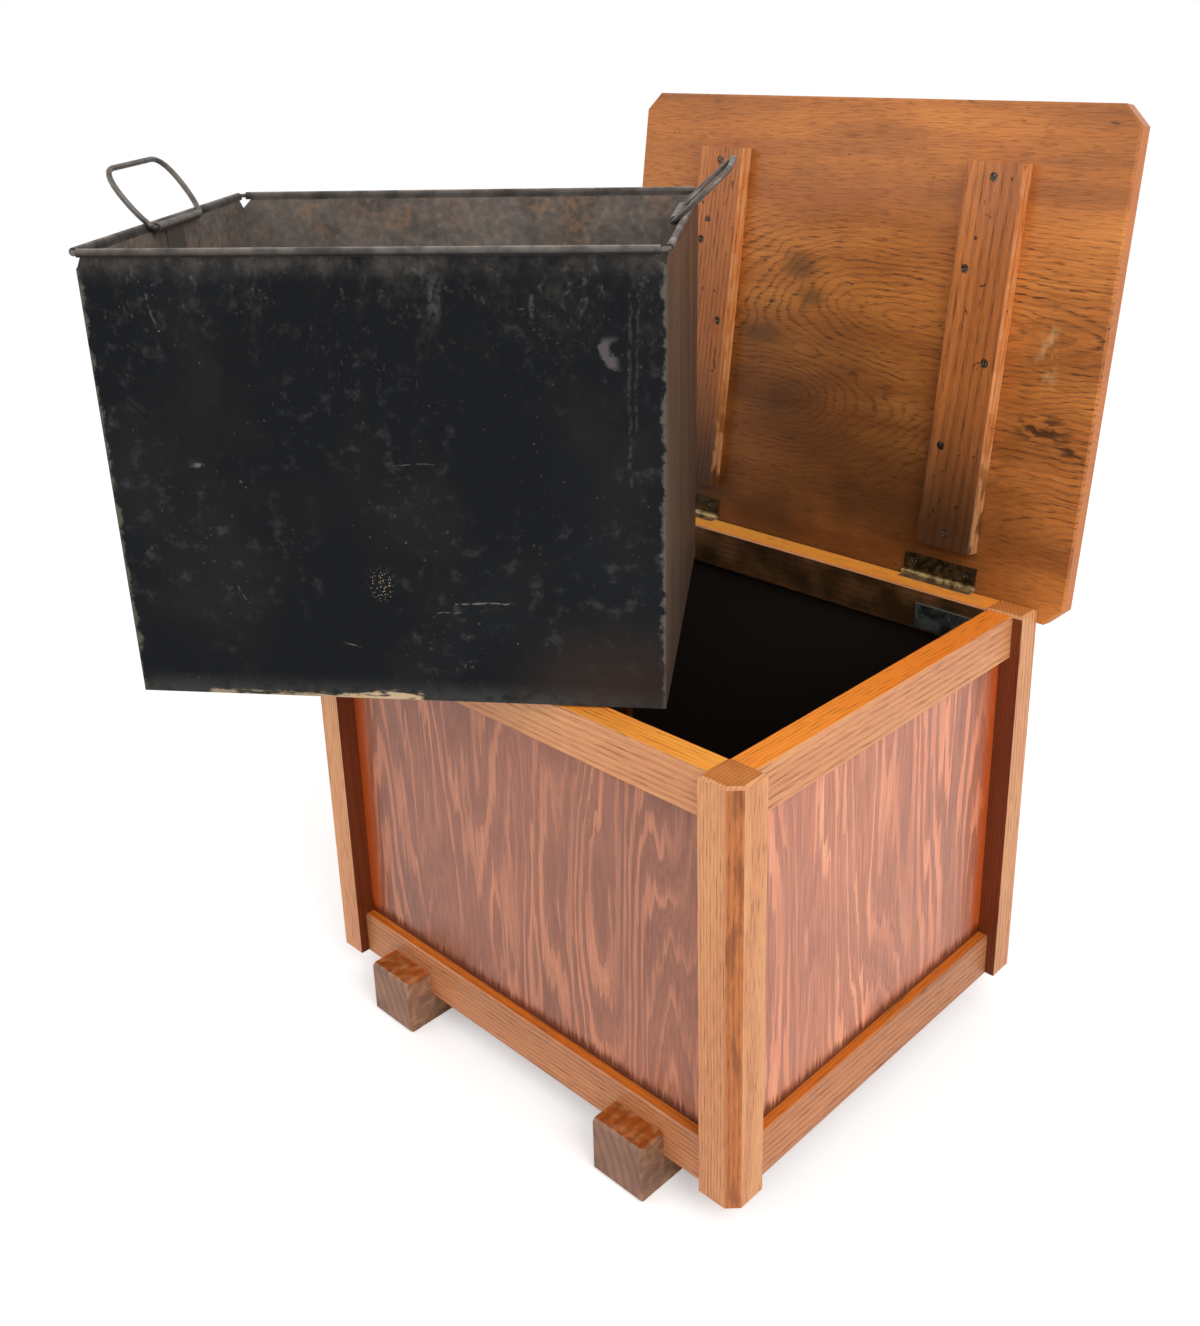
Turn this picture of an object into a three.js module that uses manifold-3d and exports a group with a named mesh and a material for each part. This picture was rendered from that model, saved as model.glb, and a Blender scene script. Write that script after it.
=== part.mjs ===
// Coal scuttle: an oak box on two runners with a hinged lid, and a loose sheet-steel liner bin
// that stands across the box's rim with both of its bail handles leaning out.
// Units are millimetres, +Z is up, the box's front faces -Y.
import * as THREE from 'three';
import { mergeVertices } from 'three/addons/utils/BufferGeometryUtils.js';
import Module from 'manifold-3d';

const wasm = await Module();
wasm.setup();

// ---- driving dimensions ----
// oak box
const BOX_WIDTH = 551;
const BOX_DEPTH = 446;
const POST_SIZE = 38;
const POST_HEIGHT = 403;
const POST_CHAMFER = 10;
const POST_END_BEVEL = 2.5;
const RAIL_SETBACK = 10;
const RAIL_THICKNESS = 28;
const TOP_RAIL_HEIGHT = 43;
const TOP_RAIL_DROP = 1.5;
const BOTTOM_RAIL_HEIGHT = 47;
const EASED_EDGE = 1.5;
const TENON_LENGTH = 8;
const TENON_THICKNESS = 10;
const PANEL_SETBACK = 10.7;
const PANEL_THICKNESS = 8;
const GROOVE_DEPTH = 6;
const WOOD_CLEARANCE = 0.3;
// floor board and runners
const FLOOR_THICKNESS = 10;
const FLOOR_LEDGE = 12;
const RUNNER_WIDTH = 57;
const RUNNER_SPACING = 320;
const RUNNER_REACH = 20;
const RUNNER_NOSE_HEIGHT = 57;
const RUNNER_DROP = 31;
const RUNNER_EASED_EDGE = 3;
// repair plate on the back rail
const PLATE_WIDTH = 62;
const PLATE_HEIGHT = 26;
const PLATE_THICKNESS = 1.2;
const PLATE_END_MARGIN = 14;
const PLATE_TOP_MARGIN = 14;
// lid
const LID_WIDTH = 577;
const LID_DEPTH = 474;
const LID_THICKNESS = 18;
const LID_OFFSET = 11;
const LID_REAR_OVERHANG = 15;
const LID_CORNER_CLIP = 18;
const LID_EASED_EDGE = 2;
const LID_OPEN_ANGLE = 98.5;
const LID_GAP = 3;
const LID_JOINT_GAP = 0.3;
const LID_BOARD_COUNT = 3;
const BATTEN_WIDTH = 60;
const BATTEN_LENGTH = 367;
const BATTEN_THICKNESS = 15;
const BATTEN_SPACING = 326;
const BATTEN_FROM_HINGE = 37;
const BATTEN_BEVEL = 2;
// hinges
const HINGE_LENGTH = 80;
const HINGE_SPACING = 326;
const HINGE_OFFSET = 4;
const HINGE_BEHIND_BOX = 1.2;
const LEAF_THICKNESS = 1.8;
const LID_LEAF_WIDTH = 21;
const RAIL_LEAF_WIDTH = 10;
const KNUCKLE_RADIUS = 2.8;
const KNUCKLE_COUNT = 5;
const KNUCKLE_GAP = 0.4;
const PIN_RADIUS = 1.45;
const PIN_CLEARANCE = 0.15;
const PIN_HEAD_RADIUS = 2.4;
const PIN_HEAD_LENGTH = 1.2;
// screws
const BATTEN_SCREW = { head: 4.2, shank: 2.2, length: 26, slot: 1, sunk: 1.2 };
const LEAF_SCREW = { head: 3.4, shank: 1.6, length: 14, slot: 0.9, sunk: 0.1 };
const SCREW_CLEARANCE = 0.3;
const SCREW_END_MARGIN = 14;
const SCREW_ZIGZAG = 17;
const SCREW_SLOT_TURN = 37;
const SCREWS_PER_BATTEN = 5;
const LEAF_SCREW_MARGIN = 11;
const LEAF_SCREW_ROW = 13;
const SCREWS_PER_LEAF = 3;
// steel liner bin, measured over the sheets' outer faces
const LINER_BOTTOM_WIDTH = 451;
const LINER_TOP_WIDTH = 460;
const LINER_BOTTOM_DEPTH = 355;
const LINER_TOP_DEPTH = 355;
const LINER_BEAD_HEIGHT = 375.5;
const SHEET_THICKNESS = 1.2;
const SHEET_GAP = 0.3;
const RIM_WIRE_RADIUS = 2;
const RIM_CORNER_RADIUS = 6;
const RIM_CORNER_STEPS = 4;
const CURL_END_ANGLE = 295;
const CURL_STEPS = 12;
const CORNER_NOTCH = 9;
const WIRE_BUTT_GAP = 1;
const WIRE_SIDES = 8;
// where the liner stands on the rim
const LINER_TURN = 37;
const LINER_X = -137.8;
const LINER_Y = -153.2;
const LINER_REST_GAP = 0.3;
// bail handles
const HANDLE_WIRE_RADIUS = 2.5;
const HANDLE_HEIGHT = 61.5;
const HANDLE_PIVOT_HALF = 54;
const HANDLE_BELLY_HALF = 60;
const HANDLE_BAR_HALF = 38;
const HANDLE_FOOT_RADIUS = 7;
const HANDLE_BELLY_HEIGHT = 38;
const HANDLE_BULGE = 0.5;
const HANDLE_CORNER_INSET = 1;
// where the curves of a bail are pulled to, as shares of its swell and of its heights
const HANDLE_PULLS = { swell: 0.8, low: 0.4, high: 0.7, corner: 0.9 };
const HANDLE_LEAN = { left: 35, right: 47 };
const HANDLE_PIVOT_INBOARD = 8.3;
const HANDLE_PIVOT_SHIFT = 6;
const SLEEVE_END_GAP = 2;
const SLEEVE_SHEET = 1.1;
const SLEEVE_CLEARANCE = 0.35;
const STRAP_HEIGHT = 38;
const STRAP_WIDTH = 36;

// ---- levels and planes worked out from the dimensions ----
const postBottom = RUNNER_DROP;
const postTop = postBottom + POST_HEIGHT;
const railTop = postTop - TOP_RAIL_DROP;
const topRailBottom = railTop - TOP_RAIL_HEIGHT;
const bottomRailTop = postBottom + BOTTOM_RAIL_HEIGHT;
const rearPostDepth = POST_SIZE - RAIL_SETBACK;
const sideSpan = BOX_DEPTH - POST_SIZE - rearPostDepth;
const frontSpan = BOX_WIDTH - 2 * POST_SIZE;
const sideCentre = (POST_SIZE - rearPostDepth) / 2;
const hingeY = BOX_DEPTH / 2 + HINGE_BEHIND_BOX;
const hingeZ = railTop + LID_GAP / 2;
const lidUnderside = LID_GAP / 2;
const beadRadius = RIM_WIRE_RADIUS + SHEET_GAP + SHEET_THICKNESS;
const beadOut = beadRadius - SHEET_THICKNESS;

// ---- materials ----
const finish = (color, roughness, metalness = 0) =>
  new THREE.MeshStandardMaterial({ color, roughness, metalness });
const oak = finish(0xa8642f, 0.42);
const panelWood = finish(0x9a5238, 0.45);
const darkOak = finish(0x7a4f34, 0.4);
const lidOak = finish(0x8f5526, 0.4);
const boardWood = finish(0x2a211b, 0.8);
const brass = finish(0x5c4c2c, 0.5, 0.8);
const screwSteel = finish(0x4a423a, 0.55, 0.8);
const blackSheet = finish(0x1d1c1d, 0.5, 0.3);
const wireSteel = finish(0x6d6862, 0.45, 0.8);
const plateSteel = finish(0x59626a, 0.45, 0.8);

// ---- geometry helpers ----
const X = new THREE.Vector3(1, 0, 0);
const Y = new THREE.Vector3(0, 1, 0);
const Z = new THREE.Vector3(0, 0, 1);

function block(x0, x1, y0, y1, z0, z1) {
  const geometry = new THREE.BoxGeometry(x1 - x0, y1 - y0, z1 - z0);
  return geometry.translate((x0 + x1) / 2, (y0 + y1) / 2, (z0 + z1) / 2);
}

function outline(points) {
  return new THREE.Shape(points.map(([x, y]) => new THREE.Vector2(x, y)));
}

// rectangle with every corner eased by a small flat
function easedRectangle(x0, x1, y0, y1, ease) {
  return outline([
    [x0 + ease, y0], [x1 - ease, y0], [x1, y0 + ease], [x1, y1 - ease],
    [x1 - ease, y1], [x0 + ease, y1], [x0, y1 - ease], [x0, y0 + ease],
  ]);
}

// extrudes an outline, centred on its length, with eased end edges
function prism(shape, length, axis, ease = 0) {
  const geometry = new THREE.ExtrudeGeometry(shape, {
    depth: length - 2 * ease,
    bevelEnabled: ease > 0,
    bevelThickness: ease,
    bevelSize: ease,
    bevelOffset: -ease,
    bevelSegments: 1,
    curveSegments: 12,
  });
  geometry.translate(0, 0, ease - length / 2);
  const turn = new THREE.Matrix4();
  if (axis === 'x') turn.makeBasis(Y, Z, X);
  if (axis === 'y') turn.makeBasis(X, Z, Y.clone().negate());
  return geometry.applyMatrix4(turn);
}

function lathe(points, segments) {
  const profile = points.map(([r, h]) => new THREE.Vector2(r, h));
  return new THREE.LatheGeometry(profile, segments).rotateX(Math.PI / 2);
}

// a cylinder or tube lying along X
function rod(radius, length, segments = 16) {
  return new THREE.CylinderGeometry(radius, radius, length, segments).rotateZ(Math.PI / 2);
}

function solid(geometry) {
  const bare = new THREE.BufferGeometry();
  bare.setAttribute('position', geometry.getAttribute('position'));
  if (geometry.index) bare.setIndex(geometry.index);
  const merged = mergeVertices(bare, 1e-4);
  return new wasm.Manifold(new wasm.Mesh({
    numProp: 3,
    vertProperties: merged.getAttribute('position').array,
    triVerts: new Uint32Array(merged.index.array),
  }));
}

function geometryOf(body) {
  const mesh = body.getMesh();
  const geometry = new THREE.BufferGeometry();
  geometry.setAttribute('position', new THREE.BufferAttribute(mesh.vertProperties, 3));
  geometry.setIndex(new THREE.BufferAttribute(mesh.triVerts, 1));
  geometry.computeVertexNormals();
  return geometry;
}

const cut = (body, cutters) => cutters.reduce((left, cutter) => left.subtract(cutter), body);

function named(name, shape, material) {
  const geometry = shape.isBufferGeometry ? shape : geometryOf(shape);
  const mesh = new THREE.Mesh(geometry, material);
  mesh.name = name;
  return mesh;
}

// wire swept through a list of points, one ring of the section at each point
class WirePath extends THREE.Curve {
  constructor(points) {
    super();
    this.points = points;
  }
  getPoint(t, target = new THREE.Vector3()) {
    const place = t * (this.points.length - 1);
    const index = Math.min(Math.floor(place), this.points.length - 2);
    return target.lerpVectors(this.points[index], this.points[index + 1], place - index);
  }
  getPointAt(u, target) {
    return this.getPoint(u, target);
  }
  getTangentAt(u, target = new THREE.Vector3()) {
    const index = Math.round(u * (this.points.length - 1));
    const before = this.points[Math.max(index - 1, 0)];
    const here = this.points[index];
    const after = this.points[Math.min(index + 1, this.points.length - 1)];
    const arriving = here.clone().sub(before).normalize();
    const leaving = after.clone().sub(here).normalize();
    return target.copy(arriving).add(leaving).normalize();
  }
}

function wire(points, radius, sides) {
  const ring = new THREE.Shape(Array.from({ length: sides }, (_, i) => {
    const angle = (i + 0.5) * 2 * Math.PI / sides;
    return new THREE.Vector2(radius * Math.cos(angle), radius * Math.sin(angle));
  }));
  return new THREE.ExtrudeGeometry(ring, {
    steps: points.length - 1,
    extrudePath: new WirePath(points),
  });
}

// ---- oak box ----
// Each side is laid out with its length along X, its rails' outer face at y = 0 and inward +Y.
const boxSides = [
  { name: 'front', span: frontSpan, turn: 0, x: 0, y: RAIL_SETBACK - BOX_DEPTH / 2 },
  { name: 'right', span: sideSpan, turn: 90, x: BOX_WIDTH / 2 - RAIL_SETBACK, y: sideCentre },
  { name: 'back', span: frontSpan, turn: 180, x: 0, y: BOX_DEPTH / 2 },
  { name: 'left', span: sideSpan, turn: 270, x: RAIL_SETBACK - BOX_WIDTH / 2, y: sideCentre },
];

function place(side, geometry) {
  const turn = new THREE.Matrix4().makeRotationZ(side.turn * Math.PI / 180);
  return geometry.applyMatrix4(turn).translate(side.x, side.y, 0);
}

function panelBlock(side, grow) {
  const half = side.span / 2 + GROOVE_DEPTH - WOOD_CLEARANCE + grow;
  const reach = GROOVE_DEPTH - WOOD_CLEARANCE + grow;
  return place(side, block(-half, half, PANEL_SETBACK - grow, PANEL_SETBACK + PANEL_THICKNESS + grow,
    bottomRailTop - reach, topRailBottom + reach));
}

function tenonBlocks(side, z0, z1, grow) {
  const shoulder = GROOVE_DEPTH + 1;
  const y0 = (RAIL_THICKNESS - TENON_THICKNESS) / 2 - grow;
  const y1 = (RAIL_THICKNESS + TENON_THICKNESS) / 2 + grow;
  return [-1, 1].map((end) => {
    const inner = end * (side.span / 2 - 1);
    const outer = end * (side.span / 2 + TENON_LENGTH - WOOD_CLEARANCE + grow);
    const [x0, x1] = inner < outer ? [inner, outer] : [outer, inner];
    return place(side, block(x0, x1, y0, y1, z0 + shoulder - grow, z1 - shoulder + grow));
  });
}

function hingeCentres() {
  return [-1, 1].map((end) => HINGE_OFFSET + end * HINGE_SPACING / 2);
}

function leafMortises() {
  return hingeCentres().map((x) => solid(block(
    x - HINGE_LENGTH / 2 - WOOD_CLEARANCE, x + HINGE_LENGTH / 2 + WOOD_CLEARANCE,
    hingeY - RAIL_LEAF_WIDTH - WOOD_CLEARANCE, hingeY + KNUCKLE_RADIUS,
    railTop - LEAF_THICKNESS, railTop + LID_GAP)));
}

function rail(side, z0, z1) {
  const section = easedRectangle(0, RAIL_THICKNESS, z0, z1, EASED_EDGE);
  let body = solid(place(side, prism(section, side.span, 'x')));
  for (const tenon of tenonBlocks(side, z0, z1, 0)) body = body.add(solid(tenon));
  return body.subtract(solid(panelBlock(side, WOOD_CLEARANCE)));
}

function makeRails() {
  return boxSides.flatMap((side) => {
    const mortises = side.name === 'back' ? leafMortises() : [];
    return [
      named(`top_rail_${side.name}`, cut(rail(side, topRailBottom, railTop), mortises), oak),
      named(`bottom_rail_${side.name}`, rail(side, postBottom, bottomRailTop), oak),
    ];
  });
}

function makePosts() {
  const cutters = boxSides.flatMap((side) => [
    panelBlock(side, WOOD_CLEARANCE),
    ...tenonBlocks(side, topRailBottom, railTop, WOOD_CLEARANCE),
    ...tenonBlocks(side, postBottom, bottomRailTop, WOOD_CLEARANCE),
  ]).map(solid);
  const x = BOX_WIDTH / 2;
  const y = BOX_DEPTH / 2;
  const front = [
    [x - POST_SIZE, -y], [x - POST_CHAMFER, -y], [x, POST_CHAMFER - y],
    [x, POST_SIZE - y], [x - POST_SIZE, POST_SIZE - y],
  ];
  const back = [[x - POST_SIZE, y - rearPostDepth], [x, y - rearPostDepth], [x, y], [x - POST_SIZE, y]];
  return [['front', front], ['back', back]].flatMap(([row, corners]) =>
    [['right', 1], ['left', -1]].map(([hand, sign]) => {
      const mirrored = corners.map(([px, py]) => [sign * px, py]);
      const section = outline(sign < 0 ? mirrored.reverse() : mirrored);
      const shaft = prism(section, POST_HEIGHT, 'z', POST_END_BEVEL);
      shaft.translate(0, 0, postBottom + POST_HEIGHT / 2);
      return named(`post_${row}_${hand}`, cut(solid(shaft), cutters), oak);
    }));
}

function makePanels() {
  return boxSides.map((side) => named(`panel_${side.name}`, panelBlock(side, 0), panelWood));
}

function makeFloorBoard() {
  const x = frontSpan / 2 + FLOOR_LEDGE;
  const y0 = POST_SIZE - BOX_DEPTH / 2 - FLOOR_LEDGE;
  const y1 = BOX_DEPTH / 2 - rearPostDepth + FLOOR_LEDGE;
  return named('floor_board', block(-x, x, y0, y1, postBottom - FLOOR_THICKNESS, postBottom), boardWood);
}

// a runner carries the board in its rebate and shows a tall nose in front of the bottom rail
function makeRunners() {
  const front = -BOX_DEPTH / 2 - RUNNER_REACH;
  const railFace = RAIL_SETBACK - BOX_DEPTH / 2;
  const boardFront = POST_SIZE - BOX_DEPTH / 2 - FLOOR_LEDGE - WOOD_CLEARANCE;
  const boardBack = BOX_DEPTH / 2 - rearPostDepth + FLOOR_LEDGE + WOOD_CLEARANCE;
  const rebate = postBottom - FLOOR_THICKNESS;
  const ease = RUNNER_EASED_EDGE;
  const profile = outline([
    [front + ease, 0], [BOX_DEPTH / 2, 0], [BOX_DEPTH / 2, RUNNER_DROP], [boardBack, RUNNER_DROP],
    [boardBack, rebate], [boardFront, rebate], [boardFront, RUNNER_DROP], [railFace, RUNNER_DROP],
    [railFace, RUNNER_NOSE_HEIGHT], [front + ease, RUNNER_NOSE_HEIGHT],
    [front, RUNNER_NOSE_HEIGHT - ease], [front, ease],
  ]);
  return [['left', -1], ['right', 1]].map(([hand, sign]) => {
    const body = prism(profile, RUNNER_WIDTH, 'x', 0);
    return named(`runner_${hand}`, body.translate(sign * RUNNER_SPACING / 2, 0, 0), darkOak);
  });
}

function makeRepairPlate() {
  const x1 = frontSpan / 2 - PLATE_END_MARGIN;
  const y1 = BOX_DEPTH / 2 - RAIL_THICKNESS;
  const z1 = railTop - PLATE_TOP_MARGIN;
  const plate = block(x1 - PLATE_WIDTH, x1, y1 - PLATE_THICKNESS, y1, z1 - PLATE_HEIGHT, z1);
  return named('back_rail_plate', plate, plateSteel);
}

// ---- hinges, laid out about their axis: the closed lid's free edge points to -Y ----
function knuckles(x, oddOnes) {
  const pitch = HINGE_LENGTH / KNUCKLE_COUNT;
  const start = x - HINGE_LENGTH / 2 + pitch / 2;
  const bodies = [];
  for (let i = oddOnes ? 1 : 0; i < KNUCKLE_COUNT; i += 2) {
    bodies.push(solid(rod(KNUCKLE_RADIUS, pitch - KNUCKLE_GAP).translate(start + i * pitch, 0, 0)));
  }
  return bodies;
}

function hingeLeaf(x, oddOnes, plate) {
  const pitch = HINGE_LENGTH / KNUCKLE_COUNT;
  const keepOut = [];
  for (let i = oddOnes ? 0 : 1; i < KNUCKLE_COUNT; i += 2) {
    const centre = x - HINGE_LENGTH / 2 + (i + 0.5) * pitch;
    const half = pitch / 2 + KNUCKLE_GAP / 2;
    const reach = KNUCKLE_RADIUS + KNUCKLE_GAP;
    keepOut.push(solid(block(centre - half, centre + half, -reach, reach, -reach - 1, reach)));
  }
  let body = cut(solid(plate), keepOut);
  for (const knuckle of knuckles(x, oddOnes)) body = body.add(knuckle);
  return body.subtract(solid(rod(PIN_RADIUS + PIN_CLEARANCE, HINGE_LENGTH + 2).translate(x, 0, 0)));
}

const leafTop = lidUnderside - LID_JOINT_GAP;
const leafFace = leafTop - LEAF_THICKNESS;

function makeRailLeaves() {
  const top = -LID_GAP / 2;
  return hingeCentres().map((x, i) => {
    const half = HINGE_LENGTH / 2;
    const plate = block(x - half, x + half, -RAIL_LEAF_WIDTH, 0, top - LEAF_THICKNESS, top);
    const mesh = named(`hinge_${i ? 'right' : 'left'}_rail_leaf`, hingeLeaf(x, false, plate), brass);
    mesh.position.set(0, hingeY, hingeZ);
    return mesh;
  });
}

function makePins() {
  return hingeCentres().map((x, i) => {
    const half = HINGE_LENGTH / 2;
    let body = solid(rod(PIN_RADIUS, HINGE_LENGTH).translate(x, 0, 0));
    for (const end of [-1, 1]) {
      const head = rod(PIN_HEAD_RADIUS, PIN_HEAD_LENGTH);
      head.translate(x + end * (half + PIN_HEAD_LENGTH / 2), 0, 0);
      body = body.add(solid(head));
    }
    const mesh = named(`hinge_${i ? 'right' : 'left'}_pin`, body, brass);
    mesh.position.set(0, hingeY, hingeZ);
    return mesh;
  });
}

// ---- screws: the head's face at z = 0, the point towards +Z ----
function screwProfile({ head, shank, length }, grow, lift) {
  const taper = head - shank;
  return [
    [0, -lift], [head + grow, -lift], [head + grow, 0.4], [shank + grow, 0.4 + taper],
    [shank + grow, length - shank], [0, length + grow],
  ];
}

function screw(kind, turn) {
  const body = solid(lathe(screwProfile(kind, 0, 0), 12));
  const slot = block(-kind.head - 1, kind.head + 1, -kind.slot / 2, kind.slot / 2, -1, kind.slot);
  return body.subtract(solid(slot)).rotate([0, 0, turn]);
}

function screwHole(kind) {
  return solid(lathe(screwProfile(kind, SCREW_CLEARANCE, 4), 12));
}

// ---- lid, laid out closed and about the hinge axis ----
const lidCentres = [-1, 1].map((end) => LID_OFFSET + end * BATTEN_SPACING / 2);
const battenFace = lidUnderside - LID_JOINT_GAP - BATTEN_THICKNESS;

function battenScrewPlaces(x) {
  const pitch = (BATTEN_LENGTH - 2 * SCREW_END_MARGIN) / (SCREWS_PER_BATTEN - 1);
  return Array.from({ length: SCREWS_PER_BATTEN }, (_, i) => {
    const inner = i === 0 || i === SCREWS_PER_BATTEN - 1;
    const side = i % 2 ? -1 : 1;
    const y = -BATTEN_FROM_HINGE - SCREW_END_MARGIN - i * pitch;
    return [x + (inner ? 0 : side * SCREW_ZIGZAG), y, battenFace + BATTEN_SCREW.sunk];
  });
}

function leafScrewPlaces(x) {
  const pitch = (HINGE_LENGTH - 2 * LEAF_SCREW_MARGIN) / (SCREWS_PER_LEAF - 1);
  return Array.from({ length: SCREWS_PER_LEAF }, (_, i) =>
    [x - HINGE_LENGTH / 2 + LEAF_SCREW_MARGIN + i * pitch, -LEAF_SCREW_ROW, leafFace + LEAF_SCREW.sunk]);
}

function makeLid() {
  const lid = new THREE.Group();
  const x0 = LID_OFFSET - LID_WIDTH / 2;
  const x1 = LID_OFFSET + LID_WIDTH / 2;
  const rear = LID_REAR_OVERHANG;
  const front = rear - LID_DEPTH;
  const clip = LID_CORNER_CLIP;
  const shape = outline([
    [x0 + clip, front], [x1 - clip, front], [x1, front + clip], [x1, rear - clip],
    [x1 - clip, rear], [x0 + clip, rear], [x0, rear - clip], [x0, front + clip],
  ]);
  const slab = prism(shape, LID_THICKNESS, 'z', LID_EASED_EDGE);
  slab.translate(0, 0, lidUnderside + LID_THICKNESS / 2);

  const battenScrews = lidCentres.flatMap(battenScrewPlaces);
  const leafScrews = hingeCentres().flatMap(leafScrewPlaces);
  const battenHoles = battenScrews.map((at) => screwHole(BATTEN_SCREW).translate(at));
  const leafHoles = leafScrews.map((at) => screwHole(LEAF_SCREW).translate(at));
  const barrelRecess = hingeCentres().map((x) => {
    const half = HINGE_LENGTH / 2 + PIN_HEAD_LENGTH + WOOD_CLEARANCE;
    const reach = KNUCKLE_RADIUS + 2 * WOOD_CLEARANCE;
    return solid(block(x - half, x + half, -reach, reach, 0, reach));
  });
  const whole = cut(solid(slab), [...battenHoles, ...leafHoles, ...barrelRecess]);
  const boardWidth = LID_DEPTH / LID_BOARD_COUNT;
  ['front', 'middle', 'rear'].forEach((row, i) => {
    const y0 = front + i * boardWidth + (i ? LID_JOINT_GAP / 2 : -1);
    const y1 = front + (i + 1) * boardWidth + (i < LID_BOARD_COUNT - 1 ? -LID_JOINT_GAP / 2 : 1);
    const strip = solid(block(x0 - 1, x1 + 1, y0, y1, -1, lidUnderside + LID_THICKNESS + 1));
    lid.add(named(`lid_board_${row}`, whole.intersect(strip), lidOak));
  });

  const hands = ['left', 'right'];
  lidCentres.forEach((x, i) => {
    const half = BATTEN_WIDTH / 2;
    const top = battenFace + BATTEN_THICKNESS;
    const section = outline([
      [x - half + BATTEN_BEVEL, battenFace], [x + half - BATTEN_BEVEL, battenFace],
      [x + half, battenFace + BATTEN_BEVEL], [x + half, top], [x - half, top],
      [x - half, battenFace + BATTEN_BEVEL],
    ]);
    const bar = prism(section, BATTEN_LENGTH, 'y');
    bar.translate(0, -BATTEN_FROM_HINGE - BATTEN_LENGTH / 2, 0);
    lid.add(named(`lid_batten_${hands[i]}`, cut(solid(bar), battenHoles), lidOak));
  });

  hingeCentres().forEach((x, i) => {
    const half = HINGE_LENGTH / 2;
    const plate = block(x - half, x + half, -LID_LEAF_WIDTH, 0, leafFace, leafTop);
    const leaf = cut(hingeLeaf(x, true, plate), leafHoles);
    lid.add(named(`hinge_${hands[i]}_lid_leaf`, leaf, brass));
  });

  const addScrews = (places, kind, count, label) => places.forEach((at, i) => {
    const name = `${hands[Math.floor(i / count)]}_${label}_${i % count + 1}`;
    const mesh = named(name, screw(kind, SCREW_SLOT_TURN * i), screwSteel);
    mesh.position.set(...at);
    lid.add(mesh);
  });
  addScrews(battenScrews, BATTEN_SCREW, SCREWS_PER_BATTEN, 'batten_screw');
  addScrews(leafScrews, LEAF_SCREW, SCREWS_PER_LEAF, 'hinge_screw');

  lid.rotation.x = -LID_OPEN_ANGLE * Math.PI / 180;
  lid.position.set(0, hingeY, hingeZ);
  return lid;
}

// ---- liner bin, laid out with its floor on z = 0 and its middle at the origin ----
// A wall is laid out with its width along X, its outer face at y = 0 and outward -Y.
const linerWalls = [
  { name: 'front', turn: 0, bottom: LINER_BOTTOM_WIDTH, top: LINER_TOP_WIDTH, across: 'depth', trim: 0 },
  {
    name: 'end_right', turn: 90, bottom: LINER_BOTTOM_DEPTH, top: LINER_TOP_DEPTH,
    across: 'width', trim: 1,
  },
  { name: 'back', turn: 180, bottom: LINER_BOTTOM_WIDTH, top: LINER_TOP_WIDTH, across: 'depth', trim: 0 },
  {
    name: 'end_left', turn: 270, bottom: LINER_BOTTOM_DEPTH, top: LINER_TOP_DEPTH,
    across: 'width', trim: 1,
  },
];

function wallReach(wall) {
  return wall.across === 'depth'
    ? { bottom: LINER_BOTTOM_DEPTH / 2, top: LINER_TOP_DEPTH / 2 }
    : { bottom: LINER_BOTTOM_WIDTH / 2, top: LINER_TOP_WIDTH / 2 };
}

function wallLean(wall) {
  const reach = wallReach(wall);
  return Math.atan2(reach.top - reach.bottom, LINER_BEAD_HEIGHT);
}

// length up the leaning wall at which its bead's middle reaches the bead height
function slantHeight(wall) {
  return (LINER_BEAD_HEIGHT + beadOut * Math.sin(wallLean(wall))) / Math.cos(wallLean(wall));
}

// how far the middle of a wall's bead stands from the middle of the bin
function beadReach(wall) {
  const angle = wallLean(wall);
  return wallReach(wall).bottom + beadOut * Math.cos(angle) + slantHeight(wall) * Math.sin(angle);
}

// leans a wall's geometry outward about its bottom edge and carries it to its side of the bin
function wallMatrix(wall) {
  return new THREE.Matrix4().makeRotationZ(wall.turn * Math.PI / 180)
    .multiply(new THREE.Matrix4().makeTranslation(0, -wallReach(wall).bottom, 0))
    .multiply(new THREE.Matrix4().makeRotationX(wallLean(wall)));
}

// section of a wall in (y, z): the sheet, rolled outward round the rim wire at its top
function wallSection(wall) {
  const points = [[SHEET_THICKNESS, 0]];
  const inner = beadRadius - SHEET_THICKNESS;
  const height = slantHeight(wall);
  const arc = (radius, from, to) => {
    for (let i = 0; i <= CURL_STEPS; i += 1) {
      const angle = (from + (to - from) * i / CURL_STEPS) * Math.PI / 180;
      points.push([-beadOut + radius * Math.cos(angle), height + radius * Math.sin(angle)]);
    }
  };
  arc(beadRadius, 0, CURL_END_ANGLE);
  arc(inner, CURL_END_ANGLE, 0);
  points.push([0, 0]);
  return outline(points.reverse());
}

// face of a wall: tapered, with a notch under each end of its bead; the bead stops at the wire's bend
function wallFace(wall) {
  const neighbour = linerWalls.find((other) => other.trim !== wall.trim);
  const trim = wall.trim * (SHEET_THICKNESS / Math.cos(wallLean(neighbour)) + SHEET_GAP);
  const spread = (wall.top - wall.bottom) / 2 / LINER_BEAD_HEIGHT * Math.cos(wallLean(wall));
  const half = (height) => wall.bottom / 2 + spread * height - trim;
  const bead = beadReach(neighbour) - RIM_CORNER_RADIUS - SHEET_GAP;
  const high = slantHeight(wall) - beadRadius;
  const low = high - CORNER_NOTCH;
  const over = slantHeight(wall) + 2 * beadRadius;
  const right = [
    [half(0), 0], [half(low), low], [half(low) - CORNER_NOTCH, high], [bead, high], [bead, over],
  ];
  const left = right.map(([x, z]) => [-x, z]).reverse();
  return outline([...right, ...left]);
}

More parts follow.
